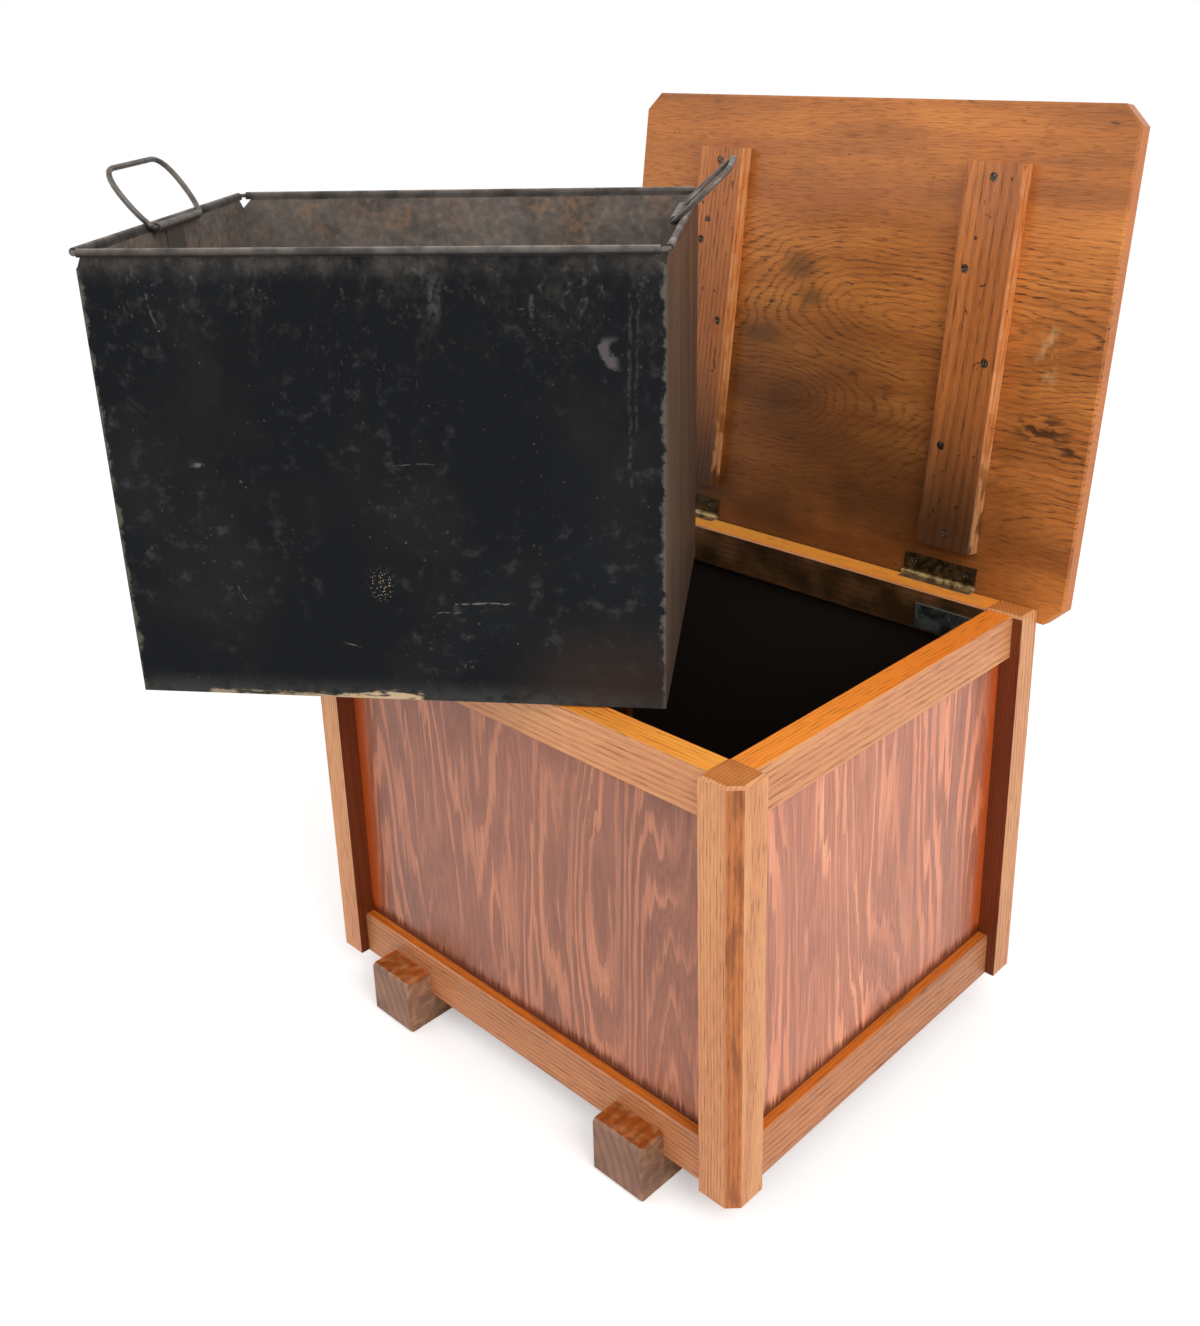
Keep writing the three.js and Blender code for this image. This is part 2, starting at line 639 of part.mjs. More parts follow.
function makeLinerWalls() {
  return linerWalls.map((wall) => {
    const sheet = solid(prism(wallSection(wall), wall.top + 4 * beadRadius, 'x'));
    const face = solid(prism(wallFace(wall), 8 * beadRadius, 'y'));
    const body = geometryOf(sheet.intersect(face)).applyMatrix4(wallMatrix(wall));
    return named(`liner_${wall.name}`, body, blackSheet);
  });
}

function makeLinerFloor() {
  const x = LINER_BOTTOM_WIDTH / 2 - SHEET_THICKNESS - SHEET_GAP;
  const y = LINER_BOTTOM_DEPTH / 2 - SHEET_THICKNESS - SHEET_GAP;
  return named('liner_floor', block(-x, x, -y, y, 0, SHEET_THICKNESS), blackSheet);
}

// one length of wire goes round inside the beads; its ends butt at the middle of the back
function makeRimWire() {
  const x = beadReach(linerWalls.find((wall) => wall.trim));
  const y = beadReach(linerWalls.find((wall) => !wall.trim));
  const r = RIM_CORNER_RADIUS;
  const points = [new THREE.Vector3(-WIRE_BUTT_GAP / 2, y, 0)];
  [[-1, 1], [-1, -1], [1, -1], [1, 1]].forEach(([sx, sy], corner) => {
    for (let i = 0; i <= RIM_CORNER_STEPS; i += 1) {
      const angle = (corner + 1 + i / RIM_CORNER_STEPS) * Math.PI / 2;
      const along = sx * (x - r) + r * Math.cos(angle);
      points.push(new THREE.Vector3(along, sy * (y - r) + r * Math.sin(angle), 0));
    }
  });
  points.push(new THREE.Vector3(WIRE_BUTT_GAP / 2, y, 0));
  const ring = wire(points, RIM_WIRE_RADIUS, WIRE_SIDES).translate(0, 0, LINER_BEAD_HEIGHT);
  return named('liner_rim_wire', ring, wireSteel);
}


// handle outline in (x, z): pivot line on z = 0, legs bowed outward, straight bar on top
function handlePoints() {
  const half = [];
  const foot = HANDLE_FOOT_RADIUS;
  const at = (x, z) => new THREE.Vector3(x, 0, z);
  for (let i = 0; i <= 3; i += 1) {
    const angle = -Math.PI / 2 + i * Math.PI / 6;
    half.push(at(HANDLE_PIVOT_HALF - foot + foot * Math.cos(angle), foot + foot * Math.sin(angle)));
  }
  const swell = HANDLE_BELLY_HALF - HANDLE_PIVOT_HALF;
  const leg = new THREE.CubicBezierCurve3(
    at(HANDLE_PIVOT_HALF, foot),
    at(HANDLE_PIVOT_HALF + swell * HANDLE_PULLS.swell, HANDLE_BELLY_HEIGHT * HANDLE_PULLS.low),
    at(HANDLE_BELLY_HALF + HANDLE_BULGE, HANDLE_BELLY_HEIGHT * HANDLE_PULLS.high),
    at(HANDLE_BELLY_HALF, HANDLE_BELLY_HEIGHT));
  const corner = new THREE.CubicBezierCurve3(
    at(HANDLE_BELLY_HALF, HANDLE_BELLY_HEIGHT),
    at(HANDLE_BELLY_HALF - HANDLE_CORNER_INSET, HANDLE_HEIGHT * HANDLE_PULLS.corner),
    at((HANDLE_BELLY_HALF + HANDLE_BAR_HALF) / 2, HANDLE_HEIGHT), at(HANDLE_BAR_HALF, HANDLE_HEIGHT));
  half.push(...leg.getPoints(6).slice(1), ...corner.getPoints(6).slice(1));
  const mirrored = half.map((p) => at(-p.x, p.z)).reverse();
  return [at(WIRE_BUTT_GAP / 2, 0), ...half, ...mirrored, at(-WIRE_BUTT_GAP / 2, 0)];
}

function makeHandles() {
  return linerWalls.filter((wall) => wall.trim).flatMap((wall) => {
    const hand = wall.name.replace('end_', '');
    const shift = hand === 'left' ? -HANDLE_PIVOT_SHIFT : HANDLE_PIVOT_SHIFT;
    // the pivot's height keeps the leaning wire a hair off the bead that it rests on
    const lean = HANDLE_LEAN[hand] * Math.PI / 180;
    const restDistance = beadRadius + HANDLE_WIRE_RADIUS + SHEET_GAP;
    const drop = (HANDLE_PIVOT_INBOARD * Math.cos(lean) - restDistance) / Math.sin(lean);
    const pivotY = HANDLE_PIVOT_INBOARD - beadOut;
    const pivotZ = slantHeight(wall) - drop;
    const bail = wire(handlePoints(), HANDLE_WIRE_RADIUS, WIRE_SIDES);
    bail.rotateX(lean).translate(shift, pivotY, pivotZ).applyMatrix4(wallMatrix(wall));

    const ring = HANDLE_WIRE_RADIUS + SLEEVE_CLEARANCE;
    const outer = ring + SLEEVE_SHEET;
    const strapOuter = SHEET_THICKNESS + SHEET_GAP;
    const length = 2 * (HANDLE_PIVOT_HALF - HANDLE_FOOT_RADIUS - SLEEVE_END_GAP);
    const roll = solid(rod(outer, length).translate(shift, pivotY, pivotZ));
    const strap = solid(block(shift - STRAP_WIDTH / 2, shift + STRAP_WIDTH / 2,
      strapOuter, pivotY, pivotZ - STRAP_HEIGHT, pivotZ));
    const hollow = solid(block(shift - STRAP_WIDTH, shift + STRAP_WIDTH,
      strapOuter + SLEEVE_SHEET, pivotY + 1, pivotZ - STRAP_HEIGHT - 1, pivotZ - ring));
    const bore = solid(rod(ring, length + 2).translate(shift, pivotY, pivotZ));
    const sleeve = geometryOf(strap.subtract(hollow).add(roll).subtract(bore));
    return [
      named(`handle_${hand}`, bail, wireSteel),
      named(`handle_sleeve_${hand}`, sleeve.applyMatrix4(wallMatrix(wall)), wireSteel),
    ];
  });
}

function makeLiner() {
  const liner = new THREE.Group();
  liner.add(...makeLinerWalls(), makeLinerFloor(), makeRimWire(), ...makeHandles());
  liner.rotation.z = LINER_TURN * Math.PI / 180;
  liner.position.set(LINER_X, LINER_Y, postTop + LINER_REST_GAP);
  return liner;
}

// ---- whole object: its origin is the middle of its bounding box, on the floor ----
const scuttle = new THREE.Group();
scuttle.add(...makePosts(), ...makeRails(), ...makePanels(), makeFloorBoard(), ...makeRunners());
scuttle.add(makeRepairPlate(), ...makeRailLeaves(), ...makePins(), makeLid(), makeLiner());
scuttle.updateMatrixWorld(true);
const middle = new THREE.Box3().setFromObject(scuttle, true).getCenter(new THREE.Vector3());
scuttle.position.set(-middle.x, -middle.y, 0);
scuttle.updateMatrixWorld(true);

export default scuttle;
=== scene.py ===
"""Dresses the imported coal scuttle: oak box, fir panels, hinged lid, black steel liner and wire handles."""
import math

import bmesh
import bpy
from bpy.props import FloatProperty, FloatVectorProperty, PointerProperty
from bpy.types import Operator, Panel, PropertyGroup
from mathutils import Matrix, Vector


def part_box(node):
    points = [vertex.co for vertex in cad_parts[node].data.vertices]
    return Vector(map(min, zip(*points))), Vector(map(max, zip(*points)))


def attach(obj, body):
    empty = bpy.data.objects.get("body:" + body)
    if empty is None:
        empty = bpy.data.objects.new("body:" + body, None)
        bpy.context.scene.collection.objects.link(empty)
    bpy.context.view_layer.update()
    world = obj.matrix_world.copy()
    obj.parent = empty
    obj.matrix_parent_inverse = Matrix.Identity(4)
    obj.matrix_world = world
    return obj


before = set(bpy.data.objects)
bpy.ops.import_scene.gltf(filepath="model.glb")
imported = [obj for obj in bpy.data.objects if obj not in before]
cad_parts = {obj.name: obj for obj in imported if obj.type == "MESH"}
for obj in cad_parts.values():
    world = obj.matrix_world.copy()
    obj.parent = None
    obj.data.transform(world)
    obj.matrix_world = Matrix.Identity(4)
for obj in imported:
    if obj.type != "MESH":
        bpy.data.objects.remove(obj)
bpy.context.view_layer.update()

bl_info = {
    "name": "Coal scuttle",
    "version": (1, 0, 0),
    "blender": (4, 5, 0),
    "location": "3D View > Sidebar > Coal scuttle",
    "description": "Finishes and small fastenings of an oak coal box with a steel liner",
    "category": "Object",
}

# ---- places that several finishes share, in metres and degrees ----
HINGE_LINE = (0.0697, 0.286665, 0.434)
LID_OPEN = 98.5
LINER_CENTRE = (-0.072101, -0.090735, 0.4343)
LINER_TURN = 37.0
LINER_TOP = 0.3755
LINER_HALF_TOP = 0.230
LINER_HALF_BOTTOM = 0.2255
LINER_HALF_DEPTH = 0.1775

POSTS = ("post_front_right", "post_front_left", "post_back_right", "post_back_left")
SIDES = ("front", "right", "back", "left")
SIDE_RUNS = {"front": "x", "back": "x", "right": "y", "left": "y"}
SIDE_FACES = {"front": (0, -1, 0), "back": (0, 1, 0), "right": (1, 0, 0), "left": (-1, 0, 0)}
PANEL_ENDS = {"x": ("post_front_left", "post_front_right"), "y": ("post_front_right", "post_back_right")}

# ---- oak: where in the tree a piece is cut, so that few share their grain, and rings without a setting ----
TOP_RAIL_CUT = 11
BOTTOM_RAIL_CUT = 23
RUNNER_CUT = 31
LID_CUT = 3
BATTEN_CUT = 41
RUNNER_RING = 0.009
BATTEN_RING = 0.0042

# ---- marks under the lid as it lies shut: each middle, and its reach if it has one, across and deep ----
FIGURE_EYE = (0.155, 0.036)
FIGURE_SWIRL = (0.0, 0.135)
# stain and painted shade on the underside near the hinge, where the liner shades the open lid
HINGE_STAIN_AND_SHADE = ((0.04, 0.25), (0.36, 0.28))
OLIVE_STAINS = (
    ((0.023, -0.002), (0.034, 0.022)),
    ((0.042, 0.028), (0.024, 0.016)),
    ((-0.02, 0.072), (0.05, 0.02)),
)
BRUISES = (((0.316, 0.120), (0.046, 0.021)), ((0.350, 0.137), (0.018, 0.012)))
SCUFF = ((0.313, 0.052), (0.017, 0.045))

# ---- marks on the front sheet of the liner, each along it and high from its base ----
BURST = ((-0.0066, 0.104), (0.014, 0.018))
RED_CORNER = ((0.20, 0.0), (0.14, 0.10))
CRESCENT_HUB = (0.1925, 0.3005)
CRESCENT_BAND = (0.0085, 0.0125)
SCRAPE_RUN = (-0.163, 0.017)
RUFFLE = 0.005
# start, end, width and strength of each scratch
SCRATCHES = (
    ((0.054, 0.0886), (0.105, 0.0903), 0.0010, 0.3),
    ((0.035, 0.080), (0.062, 0.081), 0.0008, 0.2),
    ((-0.160, 0.2046), (-0.144, 0.2046), 0.0026, 0.26),
    ((0.012, 0.207), (0.045, 0.2083), 0.0006, 0.16),
    ((0.2022, 0.345), (0.1995, 0.190), 0.0020, 0.06),
    ((0.2085, 0.340), (0.2050, 0.235), 0.0016, 0.05),
    ((0.055, 0.3633), (0.0519, 0.3155), 0.0070, 0.09),
    ((-0.176, 0.345), (-0.171, 0.318), 0.0016, 0.12),
    ((-0.045, 0.052), (-0.028, 0.046), 0.0007, 0.28),
    ((-0.130, 0.10), (-0.124, 0.086), 0.0007, 0.2),
    ((0.1285, 0.345), (0.128, 0.322), 0.0022, 0.08),
)

# ---- small fastenings: nails across the row and below the plate's top, rivets in the liner's directions ----
PLATE_NAILS = ((0.2347, 0.0125), (0.2647, 0.0095))
NAIL_RISE = 0.0009
RIVET_ALONG = 0.2268
RIVET_HIGH = 0.3455
RIVETS_DEEP = {"left": (-0.0195, 0.0060), "right": (-0.0060, 0.0195)}
RIVET_RISE = 0.0012

# ---- stage: name, setting, place and size of each lamp, the floor's own light, and the camera ----
LAMPS = (("key_lamp", "key", (2.6, -0.9, 2.3), 1.8), ("fill_lamp", "fill", (-1.6, -2.6, 2.0), 2.2))
LAMP_AIM = (0, 0, 0.35)
FLOOR_GLOW = 0.34
WHITE = (1, 1, 1, 1)
CAMERA_PLACE = (0.911099, -0.862235, 0.9721)
CAMERA_FORWARD = (-0.66527, 0.66388, -0.34157)
CAMERA_LEVEL = (0.70637, 0.70785, 0)
CAMERA_ROLL = -1.657
CAMERA_SHIFT = -0.1039
CAMERA_SENSOR = 36


def srgb(red, green, blue):
    """A colour as a screen shows it, 0 to 255, as the linear colour that a shader takes."""
    def linear(value):
        value /= 255
        return ((value + 0.055) / 1.055) ** 2.4 if value > 0.04045 else value / 12.92
    return (linear(red), linear(green), linear(blue))


def opaque(colour):
    return (*colour[:3], 1.0)


# ---- colours of marks and wear on the wood ----
CHAMFER_BLOTCH = srgb(112, 56, 20)
FLOOR_DUST = srgb(52, 44, 38)
BARE_FLOOR = srgb(126, 78, 46)
RUBBED_RUNNER = srgb(214, 168, 120)
OLIVE = srgb(66, 50, 26)
BRUISE = srgb(48, 30, 20)
CHALK = srgb(222, 184, 132)
NICK = srgb(70, 38, 18)
PIT = srgb(40, 24, 14)
RUBBED_BATTEN = srgb(224, 160, 104)
BATTEN_PORE = srgb(66, 34, 16)

# ---- colours of marks and wear on the metal, and the bead's painted glint and shade ----
TARNISH = srgb(44, 34, 20)
HINGE_GRIME = srgb(150, 122, 96)
SCREW_GRIME = srgb(52, 40, 30)
PLATE_BLOOM = srgb(96, 102, 98)
PLATE_BRINK = srgb(140, 146, 142)
WIRE_AGE = srgb(88, 78, 69)
INSIDE_BLOTCH = srgb(92, 83, 76)
INSIDE_SPECK = srgb(150, 134, 116)
PAINT_CLOUD = srgb(33, 31, 30)
COLD_PAINT = srgb(24, 28, 31)
RIM_BLOOM = srgb(88, 82, 76)
FLECK = srgb(98, 94, 88)
DUST = srgb(104, 101, 97)
FILM = srgb(76, 76, 76)
BARED_SHEET = srgb(92, 87, 86)
RED_CAST = srgb(54, 42, 36)
BARE_CORNER = srgb(98, 94, 84)
WORN_FOOT = srgb(72, 72, 68)
END_STREAK = srgb(78, 66, 56)
END_BLOOM = srgb(108, 98, 86)
DULL_BEAD = srgb(66, 61, 57)
BEAD_GLINT = srgb(172, 158, 150)
BEAD_SHADE = srgb(34, 32, 31)


# ---- the sizes and colours that a user would change ----
def colour_of(name, about, red, green, blue):
    return FloatVectorProperty(name=name, description=about, subtype="COLOR", size=3, min=0, max=1,
                               default=srgb(red, green, blue))


def length_of(name, about, value):
    return FloatProperty(name=name, description=about, default=value, min=0.0001, unit="LENGTH",
                         subtype="DISTANCE", precision=4)


def share_of(name, about, value):
    return FloatProperty(name=name, description=about, default=value, min=0, max=1, subtype="FACTOR")


class BoxOakSettings(PropertyGroup):
    """Posts and rails of the box."""
    face: colour_of("Faces", "Varnished oak on the upright faces", 214, 148, 98)
    # top and side_top are painted light: the rails' upper faces are coloured as lit from above
    top: colour_of("Tops", "Varnished oak on the rails' upper faces", 255, 168, 66)
    side_top: colour_of("Side tops", "Redder oak on the upper faces of the side rails", 252, 144, 48)
    end_grain: colour_of("End grain", "End grain on the posts", 200, 122, 58)
    low_face: colour_of("Low faces", "Oak on the faces of the bottom rails", 190, 124, 80)
    ledge: colour_of("Ledges", "Oak on the upper faces of the bottom rails", 220, 122, 38)
    chamfer: colour_of("Chamfers", "Oak on the chamfered corners", 192, 114, 60)
    # recess is stain and painted shade: the faces beside the panels are darkened as the recess shades them
    recess: colour_of("Recesses", "Stained oak on the sides beside the panels", 112, 50, 20)
    inside: colour_of("Inside", "Oak on the faces inside the box", 62, 42, 22)
    pore: colour_of("Pores", "Dark filler in the open pores", 92, 46, 20)
    ring: length_of("Ring spacing", "Distance between growth rings", 0.0034)
    gloss: share_of("Roughness", "Roughness of the varnish", 0.36)


class PanelSettings(PropertyGroup):
    """Fir panels of the box."""
    light: colour_of("Spring wood", "Light streaks of the fir", 236, 160, 122)
    dark: colour_of("Summer wood", "Dark bands of the fir", 190, 122, 96)
    # front_light and front_dark are painted shade: darker copies of the fir colours for the front panel,
    # which lies partly in the liner's shadow
    front_light: colour_of("Front spring wood", "Light streaks of the front panel", 198, 128, 96)
    front_dark: colour_of("Front summer wood", "Dark bands of the front panel", 156, 98, 76)
    # stain is real stain with painted shade in it, where the posts keep the sheen off the panel's edges
    stain: colour_of("Edge stain", "Stain gathered along the posts", 196, 82, 18)
    line: colour_of("Bottom stain", "Stain soaked up from the bottom rail", 70, 26, 12)
    inside: colour_of("Inside", "Blackened inner faces", 46, 38, 33)
    bands: FloatProperty(name="Bands", description="How many bands a swell of the grain makes",
                         default=20, min=2, max=60)


class LidSettings(PropertyGroup):
    """Boards and battens of the lid."""
    face: colour_of("Boards", "Oak boards of the lid", 190, 113, 50)
    worn: colour_of("Worn oak", "Paler oak where the figure is rubbed", 214, 134, 62)
    # dark is stain and painted shade: the lid's underside darkens near the hinge, where the liner shades it
    dark: colour_of("Dark stain", "Smoke and stain near the hinge", 70, 42, 20)
    figure: colour_of("Figure", "Dark rings of the figure", 88, 50, 22)
    batten: colour_of("Battens", "Oak battens under the lid", 186, 108, 52)
    batten_edge: colour_of("Batten edges", "Rubbed edges of the battens", 214, 134, 72)
    edge: colour_of("Board edges", "Oak on the rim of the lid", 196, 116, 60)
    ring: length_of("Figure spacing", "Distance between rings of the figure", 0.0056)


class BinSettings(PropertyGroup):
    """Liner bin, its bead, sleeves and handles."""
    paint: colour_of("Paint", "Black paint of the liner", 18, 20, 23)
    haze: colour_of("Haze", "Grey-brown bloom on the paint", 74, 68, 62)
    chip: colour_of("Chips", "Bare metal in chips and scratches", 168, 164, 156)
    scrape: colour_of("Scrape", "Bare scrape along the bottom edge", 190, 164, 132)
    bead: colour_of("Bead", "Rubbed bead along the rim", 104, 98, 93)
    inside: colour_of("Inside", "Grey-brown inner faces", 124, 114, 106)
    rust: colour_of("Rust", "Rust inside the bin", 150, 112, 84)
    end: colour_of("Ends", "Brown-grey end walls", 98, 80, 68)
    wire: colour_of("Wire", "Steel wire of the handles", 104, 98, 93)


class FittingSettings(PropertyGroup):
    """Runners, hinges, screws and repair plate."""
    runner: colour_of("Runner faces", "Stained faces of the runners", 142, 100, 76)
    runner_top: colour_of("Runner tops", "Glossy tops of the runners", 164, 82, 22)
    brass: colour_of("Brass", "Aged brass of the hinges", 92, 76, 44)
    brass_bright: colour_of("Rubbed brass", "Brass rubbed bright on the barrel", 206, 184, 128)
    screw: colour_of("Screws", "Steel screw heads", 120, 110, 98)
    plate: colour_of("Plate", "Grey repair plate", 50, 53, 50)
    rivet_radius: length_of("Rivet radius", "Radius of the sleeve rivets", 0.0030)
    nail_radius: length_of("Nail radius", "Radius of the plate's nail heads", 0.0026)


class StageSettings(PropertyGroup):
    """Floor, lamps, background and camera."""
    floor: colour_of("Floor", "Plain pale floor", 244, 244, 244)
    floor_half: FloatProperty(name="Floor reach", description="Half the floor's side", default=30,
                              min=1, unit="LENGTH")
    sky: FloatProperty(name="Sky strength", description="Even light from all round", default=0.74,
                       min=0, max=2)
    key: FloatProperty(name="Key lamp", description="Power of the soft lamp on the right", default=46,
                       min=0, subtype="POWER")
    fill: FloatProperty(name="Fill lamp", description="Power of the soft lamp on the left", default=20,
                        min=0, subtype="POWER")
    lens: FloatProperty(name="Lens", description="Focal length of the camera in millimetres",
                        default=38.167, min=10, subtype="DISTANCE_CAMERA")


# ---- node wiring ----
class Wiring:
    """A node tree being wired: each call adds a node and gives the socket that it makes."""

    def __init__(self, tree):
        self.tree = tree

    def feed(self, socket, value):
        if isinstance(value, bpy.types.NodeSocket):
            self.tree.links.new(value, socket)
        else:
            socket.default_value = value

    def add(self, kind, *inputs, **settings):
        node = self.tree.nodes.new(kind)
        for name, value in settings.items():
            setattr(node, name, value)
        for socket, value in zip(node.inputs, inputs):
            self.feed(socket, value)
        return node

    def math(self, operation, *values):
        return self.add("ShaderNodeMath", *values, operation=operation).outputs[0]


class Finish(Wiring):
    """A procedural material. Its ground is the colour that the layers so far have made."""

    def __init__(self, name, ground, **sockets):
        self.material = bpy.data.materials.new(name)
        self.material.use_nodes = True
        super().__init__(self.material.node_tree)
        self.shader = self.tree.nodes["Principled BSDF"]
        self.set(**sockets)
        coordinates = self.add("ShaderNodeTexCoord")
        self.place = coordinates.outputs["Object"]
        self.normal = coordinates.outputs["Normal"]
        self.ground = opaque(ground)

    def set(self, **sockets):
        for name, value in sockets.items():
            self.feed(self.shader.inputs[name.replace("_", " ")], value)

    def plus(self, first, *others):
        for other in others:
            first = self.math("ADD", first, other)
        return first

    def minus(self, first, second):
        return self.math("SUBTRACT", first, second)

    def times(self, first, *others):
        for other in others:
            first = self.math("MULTIPLY", first, other)
        return first

    def size(self, value):
        return self.math("ABSOLUTE", value)

    def gap(self, first, second):
        return self.size(self.minus(first, second))

    def vector(self, operation, first, second, output="Vector"):
        return self.add("ShaderNodeVectorMath", first, second, operation=operation).outputs[output]

    def stretch(self, where, x, y, z):
        return self.vector("MULTIPLY", where, (x, y, z))

    def shift(self, where, x, y, z):
        return self.vector("ADD", where, (x, y, z))

    def length(self, where):
        return self.vector("LENGTH", where, (0, 0, 0), "Value")

    def along(self, where, direction):
        return self.vector("DOT_PRODUCT", where, direction, "Value")

    def parts(self, where):
        return self.add("ShaderNodeSeparateXYZ", where).outputs

    def join(self, x, y, z):
        return self.add("ShaderNodeCombineXYZ", x, y, z).outputs[0]

    def turn(self, where, axis, degrees, centre=(0, 0, 0)):
        node = self.add("ShaderNodeVectorRotate", rotation_type=axis + "_AXIS")
        self.feed(node.inputs["Vector"], where)
        node.inputs["Center"].default_value = centre
        node.inputs["Angle"].default_value = math.radians(degrees)
        return node.outputs[0]

    def noise(self, scale, where=None, detail=2.0, roughness=0.5, distortion=0.0, output="Fac"):
        """Noise from 0 to 1 about 0.5; scale is features per metre, one number or three."""
        where = where or self.place
        if not isinstance(scale, (int, float)):
            where, scale = self.stretch(where, *scale), 1.0
        node = self.add("ShaderNodeTexNoise", noise_dimensions="3D", normalize=True)
        self.feed(node.inputs["Vector"], where)
        for name, value in (("Scale", scale), ("Detail", detail), ("Roughness", roughness),
                            ("Distortion", distortion)):
            node.inputs[name].default_value = value
        return node.outputs[output]

    def waver(self, scale, reach, **kind):
        """Noise about 0, as wide as reach."""
        return self.times(self.minus(self.noise(scale, **kind), 0.5), reach)

    def dots(self, where, scale, reach):
        """Round dots, 1 inside and 0 outside, one in each cell of a scattered grid, and a colour for each."""
        node = self.add("ShaderNodeTexVoronoi", feature="F1")
        self.feed(node.inputs["Vector"], self.stretch(where, scale, scale, scale))
        node.inputs["Scale"].default_value = 1.0
        return self.span(node.outputs["Distance"], reach, reach * 0.4), node.outputs["Color"]

    def span(self, value, low, high, start=0.0, end=1.0):
        """Smooth step from start at low to end at high."""
        return self.add("ShaderNodeMapRange", value, low, high, start, end, clamp=True,
                        interpolation_type="SMOOTHSTEP").outputs[0]

    def cloud(self, scale, low, high, start=0.0, end=1.0, **kind):
        """Noise cut by a smooth step into patches."""
        return self.span(self.noise(scale, **kind), low, high, start, end)

    def between(self, value, low, high, soft):
        return self.times(self.span(value, low - soft, low), self.span(value, high + soft, high))

    def mix(self, factor, first, second, mode="MIX"):
        node = self.add("ShaderNodeMix", factor, data_type="RGBA", blend_type=mode)
        for socket, colour in zip(node.inputs[6:8], (first, second)):
            self.feed(socket, colour if isinstance(colour, bpy.types.NodeSocket) else opaque(colour))
        return node.outputs[2]

    def tone(self, colour, value, low, high, start, end):
        """The colour made darker or lighter as value runs from low to high, where 0.5 leaves it alone."""
        amount = self.span(value, low, high, start, end)
        grey = self.add("ShaderNodeCombineColor", amount, amount, amount, mode="RGB").outputs[0]
        return self.mix(1.0, colour, grey, "OVERLAY")

    def turn_over(self, axis, degrees, centre):
        """Turns the place and the normal that the finish goes by."""
        self.place = self.turn(self.place, axis, degrees, centre)
        self.normal = self.turn(self.normal, axis, degrees)

    def facing(self, direction, sharp=0.15):
        """1 on faces that look along direction, 0 on the others."""
        toward = Vector(direction).normalized()
        return self.span(self.along(self.normal, tuple(toward)), 0.85 - sharp, 0.85)

    def patch(self, centre, reach, soft):
        """A soft blob: 1 in the middle and 0 at its reach along each axis."""
        near = self.stretch(self.shift(self.place, *(-c for c in centre)), *(1 / r for r in reach))
        return self.span(self.length(near), 1.0, soft)

    def lay(self, colour, *shares):
        """Lays a colour over the ground, as strongly as the shares multiplied together."""
        self.ground = self.mix(self.times(*shares), self.ground, colour)

    def shade(self, value, low, high, start, end):
        """Makes the ground darker or lighter as value runs from low to high, where 0.5 leaves it alone."""
        self.ground = self.tone(self.ground, value, low, high, start, end)

    def bumps(self, height, strength, depth):
        node = self.add("ShaderNodeBump")
        node.inputs["Strength"].default_value = strength
        node.inputs["Distance"].default_value = depth
        self.feed(node.inputs["Height"], height)
        self.set(Normal=node.outputs[0])

    def done(self, roughness):
        self.set(Base_Color=self.ground, Roughness=roughness)
        return self.material


def paint(node, material):
    """Gives a CAD node's own slots the material."""
    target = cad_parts[node]
    if not target.material_slots:
        target.data.materials.append(material)
    for slot in target.material_slots:
        slot.material = material


def along_grain(finish, run, seed):
    """Coordinates cut from the tree at a place of its own: x and y across the grain, z along it."""
    x, y, z = finish.parts(finish.place)
    ordered = {"x": (y, z, x), "y": (x, z, y), "z": (x, y, z)}[run]
    cut = (0.35 + 0.173 * (seed % 7), 0.21 + 0.117 * (seed % 5), 1.7 * seed)
    return finish.shift(finish.join(*ordered), *cut)


def oak_grain(finish, grain, ring):
    """Rings, pores, fibres and broad drifts of plain-sawn oak along the grain."""
    sway = finish.waver((7, 7, 1.2), 0.02, where=grain)
    radius = finish.plus(finish.length(finish.stretch(grain, 1, 1, 0.015)), sway)
    rings = finish.math("FRACT", finish.times(radius, 1 / ring))
    early = finish.times(finish.span(rings, 0.0, 0.18), finish.span(rings, 0.75, 0.25))
    dashes = finish.cloud((1350, 1350, 42), 0.52, 0.70, where=grain, detail=1.0)
    pores = finish.times(dashes, finish.plus(finish.times(early, 0.75), 0.3))
    fibres = finish.noise((2300, 2300, 60), where=grain)
    drift = finish.noise((24, 24, 2.2), where=grain, detail=3.0)
    return early, pores, fibres, drift


def oak_surface(finish, grain, pore_colour, ring, roughness, pore_share=0.62):
    """Lays the oak's grain over the ground and finishes the material."""
    early, pores, fibres, drift = oak_grain(finish, grain, ring)
    finish.shade(drift, 0.25, 0.75, 0.40, 0.58)
    finish.shade(fibres, 0.3, 0.7, 0.42, 0.57)
    finish.shade(early, 0.0, 1.0, 0.53, 0.43)
    finish.lay(pore_colour, pores, pore_share)
    finish.bumps(finish.minus(finish.times(fibres, 0.15), pores), 0.45, 0.0004)
    varnish = finish.span(drift, 0.3, 0.7, roughness - 0.05, roughness + 0.06)
    return finish.done(finish.plus(finish.times(pores, 0.25), varnish))


